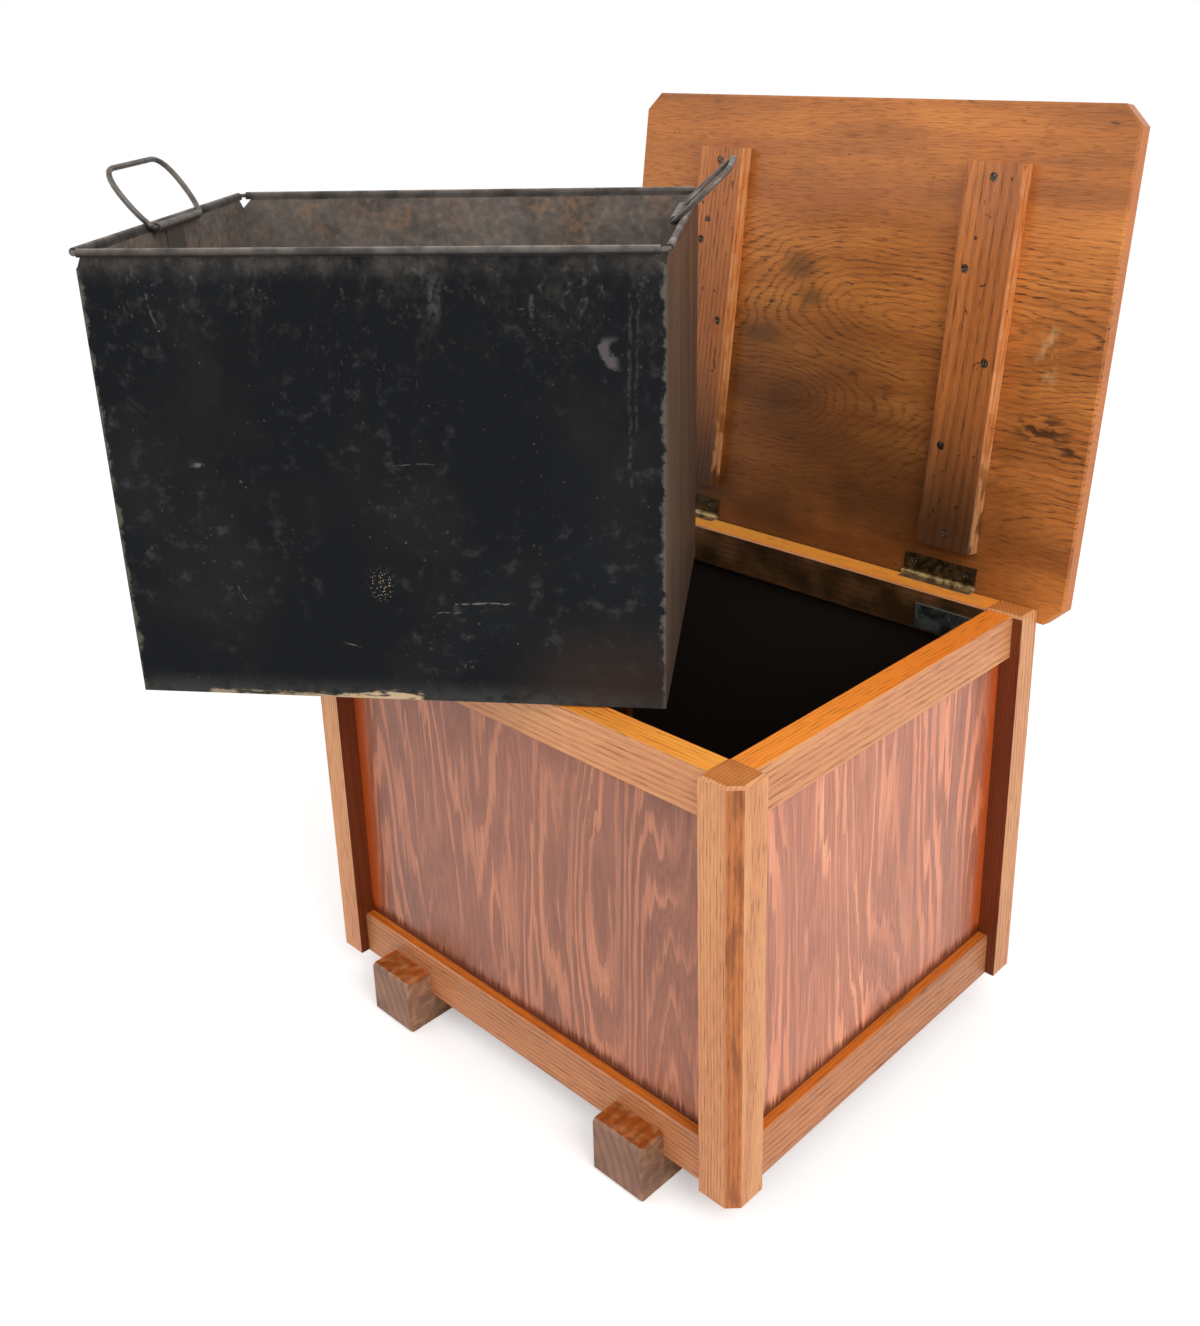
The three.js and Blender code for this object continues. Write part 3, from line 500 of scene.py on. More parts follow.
def box_oak(name, run, seed, settings, face, top, recess=(), inward=None, behind=None):
    """Varnished oak of one post or rail. Recess holds the directions of its faces beside the panels, stained
    and painted in shade. Inward is the way to the inside of the box, where its faces are laid darker, and
    behind is how far along it the darkening begins."""
    finish = Finish(name, face, Specular_IOR_Level=0.3, Coat_Weight=0.12, Coat_Roughness=0.22)
    grain = along_grain(finish, run, seed)
    # upward faces take the top colour; on the rails this is painted light, as lit from above
    finish.lay(top, finish.facing((0, 0, 1)))
    blotch = finish.times(finish.cloud((60, 60, 16), 0.50, 0.64, where=grain, detail=3.0), 0.55)
    chamfer = finish.mix(blotch, settings.chamfer, CHAMFER_BLOTCH)
    for corner in ((1, -1, 0), (-1, -1, 0), (1, 1, 0), (-1, 1, 0)):
        finish.lay(chamfer, finish.facing(corner, sharp=0.02))
    for direction in recess:
        # stain and painted shade on the faces beside the panels
        finish.lay(settings.recess, finish.facing(direction))
    if inward:
        shade = finish.facing(inward)
        if behind is not None:
            reach = finish.along(finish.place, inward)
            shade = finish.math("MAXIMUM", shade, finish.span(reach, behind - 0.001, behind + 0.001))
        # the faces inside the box are laid darker, in clouds
        inside_dark = finish.cloud(18, 0.3, 0.6, 0.75, 1.0, detail=3.0)
        finish.lay(settings.inside, shade, inside_dark)
    return oak_surface(finish, grain, settings.pore, settings.ring, settings.gloss)


def lid_oak(name, ground):
    """The start of an oak finish that goes by the lid's own directions, as it lies shut."""
    finish = Finish("oak_" + name, ground, Specular_IOR_Level=0.28, Coat_Weight=0.1, Coat_Roughness=0.25)
    finish.turn_over("X", LID_OPEN, HINGE_LINE)
    return finish


def liner_sheet(name, ground, **sockets):
    """The start of a finish that goes by the liner's own directions: along, deep and high from its base."""
    finish = Finish(name, ground, **sockets)
    finish.turn_over("Z", -LINER_TURN, LINER_CENTRE)
    finish.place = finish.shift(finish.place, *(-c for c in LINER_CENTRE))
    return finish


def steel_wire(name, settings):
    """Dull drawn wire with brown age spots."""
    finish = Finish(name, settings.wire, Metallic=0.6)
    age = finish.noise(90, detail=4.0, roughness=0.6)
    fine = finish.noise(600)
    finish.lay(WIRE_AGE, finish.span(age, 0.45, 0.75))
    finish.shade(fine, 0.3, 0.7, 0.46, 0.54)
    finish.bumps(fine, 0.12, 0.0002)
    return finish.done(finish.span(age, 0.3, 0.7, 0.38, 0.56))


# ---- small fastenings made here ----
def domed_head(name, centre, direction, radius, height, body, material):
    """A low round head, such as a rivet's or nail's, lathed and set on a face."""
    rings, sides = 5, 20
    mesh = bmesh.new()
    rows = []
    for ring in range(rings):
        angle = math.pi / 2 * ring / rings
        rows.append([mesh.verts.new((radius * math.cos(angle) * math.cos(turn),
                                     radius * math.cos(angle) * math.sin(turn), height * math.sin(angle)))
                     for turn in (2 * math.pi * side / sides for side in range(sides))])
    crown = mesh.verts.new((0, 0, height))
    foot = mesh.verts.new((0, 0, 0))
    for side in range(sides):
        after = (side + 1) % sides
        for low, high in zip(rows, rows[1:]):
            mesh.faces.new((low[side], low[after], high[after], high[side]))
        mesh.faces.new((rows[-1][side], rows[-1][after], crown))
        mesh.faces.new((rows[0][after], rows[0][side], foot))
    for face in mesh.faces:
        face.smooth = True
    data = bpy.data.meshes.new(name)
    mesh.to_mesh(data)
    mesh.free()
    data.materials.append(material)
    head = bpy.data.objects.new(name, data)
    bpy.context.scene.collection.objects.link(head)
    turn = Vector(direction).to_track_quat("Z", "Y").to_matrix().to_4x4()
    head.matrix_world = Matrix.Translation(Vector(centre)) @ turn
    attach(head, body)


def liner_point(along, deep, high):
    """A point given in the liner's own directions, in the row frame."""
    turn = math.radians(LINER_TURN)
    return Vector((LINER_CENTRE[0] + along * math.cos(turn) - deep * math.sin(turn),
                   LINER_CENTRE[1] + along * math.sin(turn) + deep * math.cos(turn),
                   LINER_CENTRE[2] + high))


# ---- operators ----
class FinishPosts(Operator):
    """Varnished oak on the four corner posts"""
    bl_idname = "scuttle.finish_posts"
    bl_label = "Finish the posts"

    def execute(self, context):
        settings = context.scene.scuttle_oak
        for seed, name in enumerate(POSTS):
            recess = ((-1 if "right" in name else 1, 0, 0), (0, -1 if "back" in name else 1, 0))
            paint(name, box_oak("oak_" + name, "z", seed, settings, settings.face, settings.end_grain,
                                recess=recess))
        return {"FINISHED"}


class FinishRails(Operator):
    """Varnished oak on the eight rails"""
    bl_idname = "scuttle.finish_rails"
    bl_label = "Finish the rails"

    def execute(self, context):
        settings = context.scene.scuttle_oak
        for seed, side in enumerate(SIDES):
            inward = Vector(SIDE_FACES[side]) * -1
            low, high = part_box("panel_" + side)
            behind = (low + high).dot(inward) / 2
            top = settings.top if SIDE_RUNS[side] == "x" else settings.side_top
            for name, cut, face, upper, inside_line in (
                    ("top_rail_" + side, TOP_RAIL_CUT, settings.face, top, None),
                    ("bottom_rail_" + side, BOTTOM_RAIL_CUT, settings.low_face, settings.ledge, behind)):
                paint(name, box_oak("oak_" + name, SIDE_RUNS[side], seed + cut, settings, face, upper,
                                    inward=tuple(inward), behind=inside_line))
        return {"FINISHED"}


class FinishPanels(Operator):
    """Stained fir with cathedral grain on the four panels"""
    bl_idname = "scuttle.finish_panels"
    bl_label = "Finish the panels"

    def execute(self, context):
        for seed, side in enumerate(SIDES):
            paint("panel_" + side, self.fir(side, seed, context.scene.scuttle_panel))
        return {"FINISHED"}

    def fir(self, side, seed, settings):
        """One panel: bands of a slow swell of the grain, with stain along the posts and the bottom rail."""
        front = side == "front"
        # the front panel takes the darker copies of the fir colours, painted shade
        finish = Finish("fir_" + side, settings.front_dark if front else settings.dark,
                        Specular_IOR_Level=0.35, Coat_Weight=0.25, Coat_Roughness=0.16)
        x, y, z = finish.parts(finish.place)
        run = x if SIDE_RUNS[side] == "x" else y
        sheet = finish.shift(finish.join(run, 0.0, z), 1.31 * seed, 0.7 * seed, 0.43 * seed)
        swell = finish.noise((9, 1, 1.1), where=sheet, detail=1.0, roughness=0.4)
        ripple = finish.times(finish.noise((42, 1, 4.2), where=sheet, detail=1.5), 2.4)
        tear = finish.times(finish.noise((170, 1, 13), where=sheet, detail=2.5, roughness=0.6), 0.95)
        field = finish.plus(finish.times(swell, settings.bands), ripple, tear)
        band = finish.math("FRACT", field)
        width = finish.cloud((16, 1, 2.5), 0.36, 0.62, 0.74, 0.36, where=sheet)
        light = finish.times(finish.span(finish.minus(band, width), 0.0, 0.09), finish.span(band, 0.98, 0.90))
        faint = finish.cloud((20, 1, 3.5), 0.34, 0.62, 0.30, 1.0, where=sheet)
        # on the front panel these streaks are the painted-shade copy
        finish.lay(settings.front_light if front else settings.light, light, faint)
        hair = finish.noise((900, 1, 22), where=sheet)
        finish.shade(hair, 0.3, 0.7, 0.42, 0.58)
        thin = finish.math("FRACT", finish.times(field, 3.0))
        thin = finish.times(finish.span(thin, 0.0, 0.8), finish.span(thin, 1.0, 0.85))
        finish.shade(thin, 0.0, 1.0, 0.52, 0.45)
        cloud = finish.noise((6, 1, 3), where=sheet)
        finish.shade(cloud, 0.3, 0.7, 0.42, 0.57)
        self.stains(finish, side, run, settings)
        wick = finish.times(finish.noise((420, 1, 6), where=sheet, detail=1.0), 0.022)
        above = finish.minus(z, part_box("bottom_rail_" + side)[1].z)
        finish.lay(settings.line, finish.span(finish.minus(above, wick), 0.004, -0.008), 0.85)
        finish.lay(settings.inside, finish.facing(tuple(-c for c in SIDE_FACES[side])))
        finish.bumps(finish.plus(finish.times(hair, 0.3), light), 0.12, 0.0003)
        return finish.done(finish.span(cloud, 0.3, 0.7, 0.30, 0.42))

    def stains(self, finish, side, run, settings):
        """Stain and painted shade beside the posts, wide and strong at one, narrow and faint at the other."""
        axis = "xy".index(SIDE_RUNS[side])
        low_post, high_post = PANEL_ENDS[SIDE_RUNS[side]]
        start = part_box(low_post)[1][axis]
        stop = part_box(high_post)[0][axis]
        faint, strong = (stop, start) if side in ("front", "left") else (start, stop)
        beside = finish.times(finish.span(finish.gap(run, strong), 0.026, 0.004), 0.9)
        close = finish.times(finish.span(finish.gap(run, faint), 0.014, 0.002), 0.35)
        # stain and painted shade along the posts
        finish.lay(settings.stain, finish.plus(beside, close))


class FinishFloorBoard(Operator):
    """Dark floor board inside the box"""
    bl_idname = "scuttle.finish_floor_board"
    bl_label = "Finish the floor board"

    def execute(self, context):
        finish = Finish("sooty_floor_board", context.scene.scuttle_panel.inside, Specular_IOR_Level=0.2)
        dust = finish.noise((30, 30, 30), detail=4.0, roughness=0.65)
        grain = finish.noise((14, 420, 200))
        finish.lay(FLOOR_DUST, finish.span(dust, 0.5, 0.8, 0, 0.4))
        finish.lay(BARE_FLOOR, finish.facing((0, 0, -1)))
        finish.shade(grain, 0.3, 0.7, 0.4, 0.6)
        finish.bumps(grain, 0.2, 0.0004)
        paint("floor_board", finish.done(finish.span(dust, 0.3, 0.7, 0.65, 0.85)))
        return {"FINISHED"}


class FinishRunners(Operator):
    """Stained and rubbed runners under the box"""
    bl_idname = "scuttle.finish_runners"
    bl_label = "Finish the runners"

    def execute(self, context):
        settings = context.scene.scuttle_fitting
        pore = context.scene.scuttle_oak.pore
        for seed, name in enumerate(("runner_left", "runner_right")):
            finish = Finish("stained_" + name, settings.runner, Specular_IOR_Level=0.3, Coat_Weight=0.15,
                            Coat_Roughness=0.2)
            grain = along_grain(finish, "y", seed + RUNNER_CUT)
            finish.lay(settings.runner_top, finish.facing((0, 0, 1)))
            finish.shade(finish.noise(45, detail=3.0), 0.3, 0.7, 0.44, 0.54)
            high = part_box(name)[1]
            x, _, z = finish.parts(finish.place)
            rim = finish.math("MAXIMUM", finish.span(z, high.z - 0.003, high.z - 0.0005),
                              finish.span(x, high.x - 0.003, high.x - 0.0005))
            finish.lay(RUBBED_RUNNER, rim, finish.cloud(90, 0.45, 0.65), 0.25)
            paint(name, oak_surface(finish, grain, pore, RUNNER_RING, 0.3, pore_share=0.16))
        return {"FINISHED"}


class FinishLidBoards(Operator):
    """Oak boards of the lid with their figure, stain and scuffs"""
    bl_idname = "scuttle.finish_lid_boards"
    bl_label = "Finish the lid boards"

    def execute(self, context):
        for name in ("lid_board_front", "lid_board_middle", "lid_board_rear"):
            paint(name, self.board(name, context.scene.scuttle_lid))
        return {"FINISHED"}

    def arcs(self, finish, centre, before, after):
        """Distance from a place on the lid, stretched unlike before and after it along the board."""
        x, y, _ = finish.parts(finish.shift(finish.place, -centre[0], -centre[1], 0))
        run = finish.plus(finish.times(finish.math("MINIMUM", x, 0.0), before),
                          finish.times(finish.math("MAXIMUM", x, 0.0), after))
        return finish.length(finish.join(run, y, 0.0))

    def figure(self, finish, pores, ring):
        """Wavering dark rings round an eye and a swirl, strongest in the middle of the lid."""
        eye = self.arcs(finish, FIGURE_EYE, 0.36, 0.13)
        swirl = self.arcs(finish, FIGURE_SWIRL, 0.14, 0.42)
        field = finish.math("SMOOTH_MIN", eye, finish.plus(swirl, 0.008), 0.03)
        warp = finish.waver((7, 13, 30), 0.034)
        fine = finish.waver((42, 70, 120), 0.0065)
        field = finish.plus(field, finish.plus(warp, fine))
        rings = finish.math("FRACT", finish.times(field, 1 / ring))
        line = finish.times(finish.span(rings, 0.50, 0.80), finish.span(rings, 1.0, 0.93))
        broken = finish.plus(finish.times(pores, 0.62), 0.38)
        y = finish.parts(finish.place)[1]
        zone = finish.times(finish.span(y, -0.085, -0.02), finish.span(y, 0.27, 0.15))
        patchy = finish.cloud((9, 16, 9), 0.34, 0.56, 0.35, 1.0)
        return finish.times(line, broken, finish.plus(finish.times(zone, 0.86), 0.14), patchy)

    def spot(self, finish, mark, soft):
        """A soft blob through the lid, where mark holds its middle and its reach."""
        middle, reach = mark
        return finish.patch((*middle, HINGE_LINE[2]), (*reach, 1), soft)

    def marks(self, finish, under):
        """Olive stains, bruises, a chalky scuff and nicks."""
        for stain in OLIVE_STAINS:
            finish.lay(OLIVE, self.spot(finish, stain, 0.1), under, 0.6)
        torn = finish.cloud((60, 150, 60), 0.44, 0.56, detail=3.0)
        for bruise in BRUISES:
            finish.lay(BRUISE, self.spot(finish, bruise, 0.2), torn, under, 0.85)
        chalk = finish.cloud((110, 60, 60), 0.44, 0.66, detail=4.0, roughness=0.65)
        finish.lay(CHALK, self.spot(finish, SCUFF, 0.1), chalk, under, 0.55)
        finish.lay(NICK, finish.cloud((70, 260, 70), 0.74, 0.80, detail=1.0), 0.7)

    def board(self, name, settings):
        """One board of the lid: drifting oak under the figure, stain and painted shade near the hinge, and
        the marks.
        """
        finish = lid_oak(name, settings.face)
        grain = along_grain(finish, "x", LID_CUT)
        y = finish.parts(finish.place)[1]
        pores = finish.cloud((620, 620, 62), 0.54, 0.66, where=grain, detail=1.0)
        fibres = finish.noise((1500, 1500, 40), where=grain)
        drift = finish.noise((26, 26, 3.2), where=grain, detail=3.0)
        figure = self.figure(finish, pores, settings.ring)
        finish.lay(settings.worn, finish.cloud((5, 9, 9), 0.38, 0.62), 0.65)
        finish.shade(drift, 0.28, 0.72, 0.33, 0.6)
        finish.shade(y, -0.17, -0.06, 0.455, 0.5)
        # stain and painted shade: darker towards the hinge
        finish.shade(y, 0.12, 0.26, 0.5, 0.44)
        finish.shade(fibres, 0.3, 0.7, 0.42, 0.58)
        finish.lay(settings.figure, pores, 0.28)
        under = finish.facing((0, 0, -1))
        thick = finish.cloud((8, 12, 8), 0.25, 0.7, 0.55, 1.0, detail=3.0)
        # stain and painted shade near the hinge
        finish.lay(settings.dark, self.spot(finish, HINGE_STAIN_AND_SHADE, 0.3), thick, under, 0.84)
        finish.lay(settings.figure, figure, 0.95)
        self.marks(finish, under)
        rim = finish.span(finish.size(finish.parts(finish.normal)[2]), 0.6, 0.3)
        finish.lay(settings.edge, rim, 0.7)
        hollow = finish.plus(figure, finish.times(pores, 0.6))
        finish.bumps(finish.minus(finish.times(fibres, 0.2), hollow), 0.4, 0.0004)
        return finish.done(finish.plus(finish.span(drift, 0.3, 0.7, 0.36, 0.46), finish.times(figure, 0.15)))


class FinishBattens(Operator):
    """Bruised oak battens under the lid"""
    bl_idname = "scuttle.finish_battens"
    bl_label = "Finish the battens"

    def execute(self, context):
        for seed, name in enumerate(("lid_batten_left", "lid_batten_right")):
            paint(name, self.batten(name, seed, context.scene.scuttle_lid))
        return {"FINISHED"}

    def batten(self, name, seed, settings):
        """One batten: worn and pitted oak with rubbed corners, darker near the hinge with stain and painted
        shade.
        """
        finish = lid_oak(name, settings.batten)
        x, y, _ = finish.parts(finish.place)
        grain = along_grain(finish, "y", seed + BATTEN_CUT)
        side = finish.size(finish.parts(finish.normal)[0])
        finish.lay(settings.batten_edge, finish.span(side, 0.6, 0.9))
        worn = finish.cloud((16, 5, 16), 0.4, 0.65, detail=3.0)
        finish.lay(settings.batten_edge, worn, 0.45)
        # stain and painted shade: darker towards the hinge
        finish.lay(settings.dark, finish.span(y, 0.08, 0.24), 0.92)
        pits = finish.cloud((150, 95, 150), 0.70, 0.76, detail=1.0, distortion=0.8)
        finish.lay(PIT, pits, 0.85)
        bare = finish.cloud((60, 42, 60), 0.44, 0.60)
        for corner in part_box(name):
            brink = finish.span(finish.gap(x, corner.x), 0.0022, 0.0004)
            finish.lay(RUBBED_BATTEN, brink, bare, 0.55)
        return oak_surface(finish, grain, BATTEN_PORE, BATTEN_RING, 0.42, pore_share=0.7)


class FinishHinges(Operator):
    """Aged brass on leaves and pins"""
    bl_idname = "scuttle.finish_hinges"
    bl_label = "Finish the hinges"

    def execute(self, context):
        settings = context.scene.scuttle_fitting
        finish = Finish("aged_brass", TARNISH, Metallic=0.75)
        _, y, z = finish.parts(finish.place)
        _, line_y, line_z = HINGE_LINE
        off = finish.length(finish.join(0.0, finish.minus(y, line_y), finish.minus(z, line_z)))
        tarnish = finish.noise(130, detail=4.0, roughness=0.6)
        finish.lay(settings.brass, finish.span(tarnish, 0.35, 0.65))
        barrel = finish.span(off, 0.0042, 0.0032)
        finish.lay(settings.brass_bright, barrel, finish.span(tarnish, 0.36, 0.56, 0.35, 1.0))
        low = finish.span(z, line_z + 0.001, line_z - 0.0005)
        beside = finish.span(off, 0.003, 0.004)
        finish.lay(HINGE_GRIME, low, beside, finish.span(tarnish, 0.3, 0.6, 0.6, 1.0))
        finish.bumps(tarnish, 0.25, 0.0003)
        material = finish.done(finish.span(tarnish, 0.3, 0.7, 0.32, 0.56))
        for hand in ("left", "right"):
            for part in ("rail_leaf", "pin", "lid_leaf"):
                paint(f"hinge_{hand}_{part}", material)
        return {"FINISHED"}


class FinishScrews(Operator):
    """Dull steel on the slotted screws"""
    bl_idname = "scuttle.finish_screws"
    bl_label = "Finish the screws"

    def execute(self, context):
        finish = Finish("dull_screw_steel", SCREW_GRIME, Metallic=0.7)
        grime = finish.noise(420, detail=3.0)
        finish.lay(context.scene.scuttle_fitting.screw, finish.span(grime, 0.4, 0.62))
        finish.bumps(grime, 0.3, 0.0002)
        material = finish.done(finish.span(grime, 0.3, 0.7, 0.35, 0.6))
        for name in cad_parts:
            if "_screw_" in name:
                paint(name, material)
        return {"FINISHED"}


class FinishPlate(Operator):
    """Grey steel plate inside the back rail, with its two nails"""
    bl_idname = "scuttle.finish_plate"
    bl_label = "Finish the plate"

    def execute(self, context):
        settings = context.scene.scuttle_fitting
        finish = Finish("zinc_plate", settings.plate, Metallic=0.55)
        bloom = finish.noise(80, detail=4.0)
        finish.lay(PLATE_BLOOM, finish.span(bloom, 0.35, 0.65))
        low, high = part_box("back_rail_plate")
        z = finish.parts(finish.place)[2]
        finish.lay(PLATE_BRINK, finish.span(z, high.z - 0.0012, high.z - 0.0004), 0.8)
        material = finish.done(finish.span(bloom, 0.3, 0.7, 0.4, 0.6))
        paint("back_rail_plate", material)
        for number, (across, below) in enumerate(PLATE_NAILS, 1):
            domed_head(f"plate_nail_{number}", (across, low.y, high.z - below), (0, -1, 0),
                       settings.nail_radius, NAIL_RISE, "box", material)
        return {"FINISHED"}


class FinishBin(Operator):
    """Chipped black paint, rubbed bead with painted glint and shade, and rusty inside of the liner bin"""
    bl_idname = "scuttle.finish_bin"
    bl_label = "Finish the liner"

    def execute(self, context):
        settings = context.scene.scuttle_bin
        walls = self.painted_sheet(settings)
        for name in ("liner_front", "liner_back", "liner_end_left", "liner_end_right"):
            paint(name, walls)
        paint("liner_floor", self.inside_sheet(settings))
        paint("liner_rim_wire", steel_wire("rim_wire_steel", settings))
        return {"FINISHED"}

    def rusty(self, finish, settings):
        """The colour of the sheet inside: grey-brown blotches, rust and pale specks."""
        speck = finish.noise(150, detail=3.0)
        blotch = finish.cloud(26, 0.30, 0.80, detail=5.0, roughness=0.65)
        colour = finish.mix(blotch, settings.inside, INSIDE_BLOTCH)
        colour = finish.tone(colour, speck, 0.3, 0.7, 0.42, 0.58)
        rust = finish.times(finish.cloud(24, 0.46, 0.70, detail=4.0),
                            finish.span(speck, 0.42, 0.6), 0.5)
        colour = finish.mix(rust, colour, settings.rust)
        return finish.mix(finish.times(finish.span(speck, 0.62, 0.72), 0.45), colour, INSIDE_SPECK)

    def inside_sheet(self, settings):
        finish = liner_sheet("rusty_sheet", settings.inside, Metallic=0.1, Specular_IOR_Level=0.3)
        finish.ground = self.rusty(finish, settings)
        ash = finish.noise(60, detail=4.0)
        finish.bumps(ash, 0.3, 0.0006)
        return finish.done(finish.span(ash, 0.3, 0.7, 0.6, 0.85))

    def painted_sheet(self, settings):
        """The walls: worn black paint outside, brown end walls, rusty inside and a rubbed bead with painted
        glint and shade.
        """
        finish = liner_sheet("chipped_black_paint", settings.paint, Specular_IOR_Level=0.08)
        x, y, _ = finish.parts(finish.place)
        nx, ny, _ = finish.parts(finish.normal)
        inside = finish.span(finish.plus(finish.times(x, nx), finish.times(y, ny)), 0.01, -0.01)
        front = finish.span(ny, -0.6, -0.9)
        clouds = finish.noise(9, detail=4.0, roughness=0.55)
        finish.lay(PAINT_CLOUD, finish.span(clouds, 0.45, 0.78))
        finish.lay(COLD_PAINT, finish.cloud(5, 0.50, 0.70), 0.6)
        level = self.bloom(finish, settings)
        bent = self.bent_place(finish)
        self.chips(finish, bent, settings)
        self.scratches(finish, bent, front, settings)
        self.crescent(finish, bent, front)
        finish.lay(RED_CAST, self.front_spot(finish, RED_CORNER, 0.1), front, 0.75)
        ragged = finish.noise(75, detail=4.0, roughness=0.7)
        self.bare_edges(finish, ragged, front)
        self.scrape(finish, ragged, front, settings)
        finish.lay(self.end_wall(finish, level, settings), finish.span(finish.size(nx), 0.6, 0.8))
        finish.lay(self.rusty(finish, settings), inside)
        bead = finish.span(finish.parts(finish.place)[2], 0.3708, 0.3722)
        finish.lay(self.bead_metal(finish, settings), bead)
        dents = finish.times(finish.noise((11, 11, 11)), 6.0)
        finish.bumps(finish.plus(dents, finish.times(ragged, 0.35)), 0.35, 0.0006)
        finish.set(Metallic=finish.times(bead, 0.45))
        return finish.done(finish.plus(finish.span(clouds, 0.3, 0.7, 0.38, 0.55), finish.times(inside, 0.2)))

    def bloom(self, finish, settings):
        """Grey bloom that thins out below the bead, with flecks; gives how thick it lies."""
        z = finish.parts(finish.place)[2]
        bloom = finish.noise(42, where=finish.stretch(finish.place, 1, 1, 0.7), detail=6.0, roughness=0.74)
        below = finish.minus(1.0, finish.span(z, 0.23, 0.372))
        level = finish.minus(bloom, finish.times(below, 0.16))
        finish.lay(settings.haze, finish.span(level, 0.46, 0.78), 0.5)
        finish.lay(RIM_BLOOM, finish.span(z, 0.350, 0.372), finish.span(bloom, 0.28, 0.72), 0.6)
        mottle = finish.cloud((150, 150, 110), 0.56, 0.70, detail=4.0, roughness=0.7)
        flecks = finish.times(mottle, finish.span(z, 0.25, 0.365))
        finish.lay(FLECK, flecks, finish.span(bloom, 0.38, 0.60), 0.4)
        return level

    def bent_place(self, finish):
        """The place moved a little by slow noise in three directions, so that chips and scratches bend."""
        noise = finish.noise((60, 60, 60), output="Color")
        bent = finish.vector("ADD", finish.place, finish.stretch(noise, RUFFLE, RUFFLE, RUFFLE))
        return finish.shift(bent, -RUFFLE / 2, -RUFFLE / 2, -RUFFLE / 2)

    def chips(self, finish, bent, settings):
        """Chips of two sizes, dust, a thin film and a burst of bare dots low on the front."""
        for scale, reach, keep in ((95, 0.17, 0.86), (230, 0.24, 0.90)):
            speck, tint = finish.dots(bent, scale, reach)
            draw, strength, _ = finish.parts(tint)
            chosen = finish.times(finish.span(draw, keep, keep + 0.02),
                                  finish.span(strength, 0.0, 1.0, 0.15, 0.8))
            crowd = finish.cloud(11, 0.46, 0.62)
            finish.lay(settings.chip, speck, chosen, crowd, 0.5)
        thick = finish.cloud(15, 0.48, 0.66, detail=3.0)
        finish.lay(DUST, finish.cloud(330, 0.68, 0.78), thick, 0.4)
        film = finish.cloud(62, 0.52, 0.72, detail=5.0, roughness=0.65)
        finish.lay(FILM, film, finish.cloud(8, 0.44, 0.62), 0.4)
        grit, tint = finish.dots(finish.place, 560, 0.34)
        chosen = finish.span(finish.parts(tint)[1], 0.45, 0.5)
        finish.lay(settings.scrape, self.front_spot(finish, BURST, 0.3), grit, chosen)

    def front_spot(self, finish, mark, soft):
        """A soft blob on the front sheet, where mark holds its middle and its reach. It goes through to the
        back sheet, unless the caller keeps it to the front."""
        (along, high), (wide, tall) = mark
        return finish.patch((along, -LINER_HALF_DEPTH, high), (wide, 1, tall), soft)

    def scratches(self, finish, bent, front, settings):
        """Thin broken scratches on the front sheet."""
        rough_line = finish.cloud(170, 0.36, 0.60, detail=3.0)
        for start, end, width, strength in SCRATCHES:
            mark = self.stroke(finish, bent, start, end, width)
            finish.lay(settings.chip, mark, front, rough_line, strength)

    def stroke(self, finish, bent, start, end, width):
        """A thin scratch on the front sheet between two points, given as along and high."""
        middle = (Vector(start) + Vector(end)) / 2
        run = Vector(end) - Vector(start)
        near = finish.shift(bent, -middle.x, 0, -middle.y)
        near = finish.turn(near, "Y", math.degrees(math.atan2(run.y, run.x)))
        x, _, z = finish.parts(near)
        across = finish.span(finish.size(z), width, width * 0.3)
        length = finish.span(finish.size(x), run.length / 2, run.length / 2 - width * 2)
        return finish.times(across, length)

    def crescent(self, finish, bent, front):
        """The crescent where a knock has bared the sheet."""
        x, _, z = finish.parts(finish.place)
        along, high = CRESCENT_HUB
        hub = finish.stretch(finish.shift(bent, -along, 0, -high), 1, 0, 0.85)
        off = finish.plus(finish.length(hub), finish.waver(130, 0.009, detail=3.0))
        band = finish.between(off, *CRESCENT_BAND, 0.0032)
        left_half = finish.span(x, along + 0.003, along - 0.0045)
        low_part = finish.span(z, high + 0.0115, high + 0.0035)
        finish.lay(BARED_SHEET, band, left_half, front, low_part, 0.75)

    def bare_edges(self, finish, ragged, front):
        """Paint worn off along the corners and the foot."""
        x, _, z = finish.parts(finish.place)
        half_width = finish.span(z, 0.0, LINER_TOP, LINER_HALF_BOTTOM, LINER_HALF_TOP)
        side = finish.minus(half_width, finish.size(x))
        bare = finish.span(finish.minus(side, finish.times(ragged, 0.018)), -0.005, -0.009)
        finish.lay(BARE_CORNER, bare, front, 0.75)
        finish.lay(WORN_FOOT, finish.span(z, 0.022, 0.0), finish.span(ragged, 0.2, 0.6), 0.55)

    def scrape(self, finish, ragged, front, settings):
        """The bright scrape along the bottom edge of the front, thin and faint at its left."""
        x, _, z = finish.parts(finish.place)
        reach = finish.plus(finish.times(finish.span(x, -0.05, 0.0), 0.0045), 0.0005)
        torn = finish.minus(z, finish.times(ragged, 0.008))
        low = finish.span(finish.minus(torn, reach), 0.0, -0.0025)
        streaks = finish.cloud((60, 60, 260), 0.36, 0.5, detail=3.0)
        strength = finish.span(x, -0.10, -0.02, 0.55, 1.0)
        finish.lay(settings.scrape, low, finish.between(x, *SCRAPE_RUN, 0.006), front, streaks, strength)

    def end_wall(self, finish, level, settings):
        """Brown-grey with upright streaks."""
        streak = finish.cloud((60, 60, 4), 0.35, 0.65, detail=3.0)
        brown = finish.mix(streak, settings.end, END_STREAK)
        return finish.mix(finish.times(finish.span(level, 0.50, 0.66), 0.5), brown, END_BLOOM)

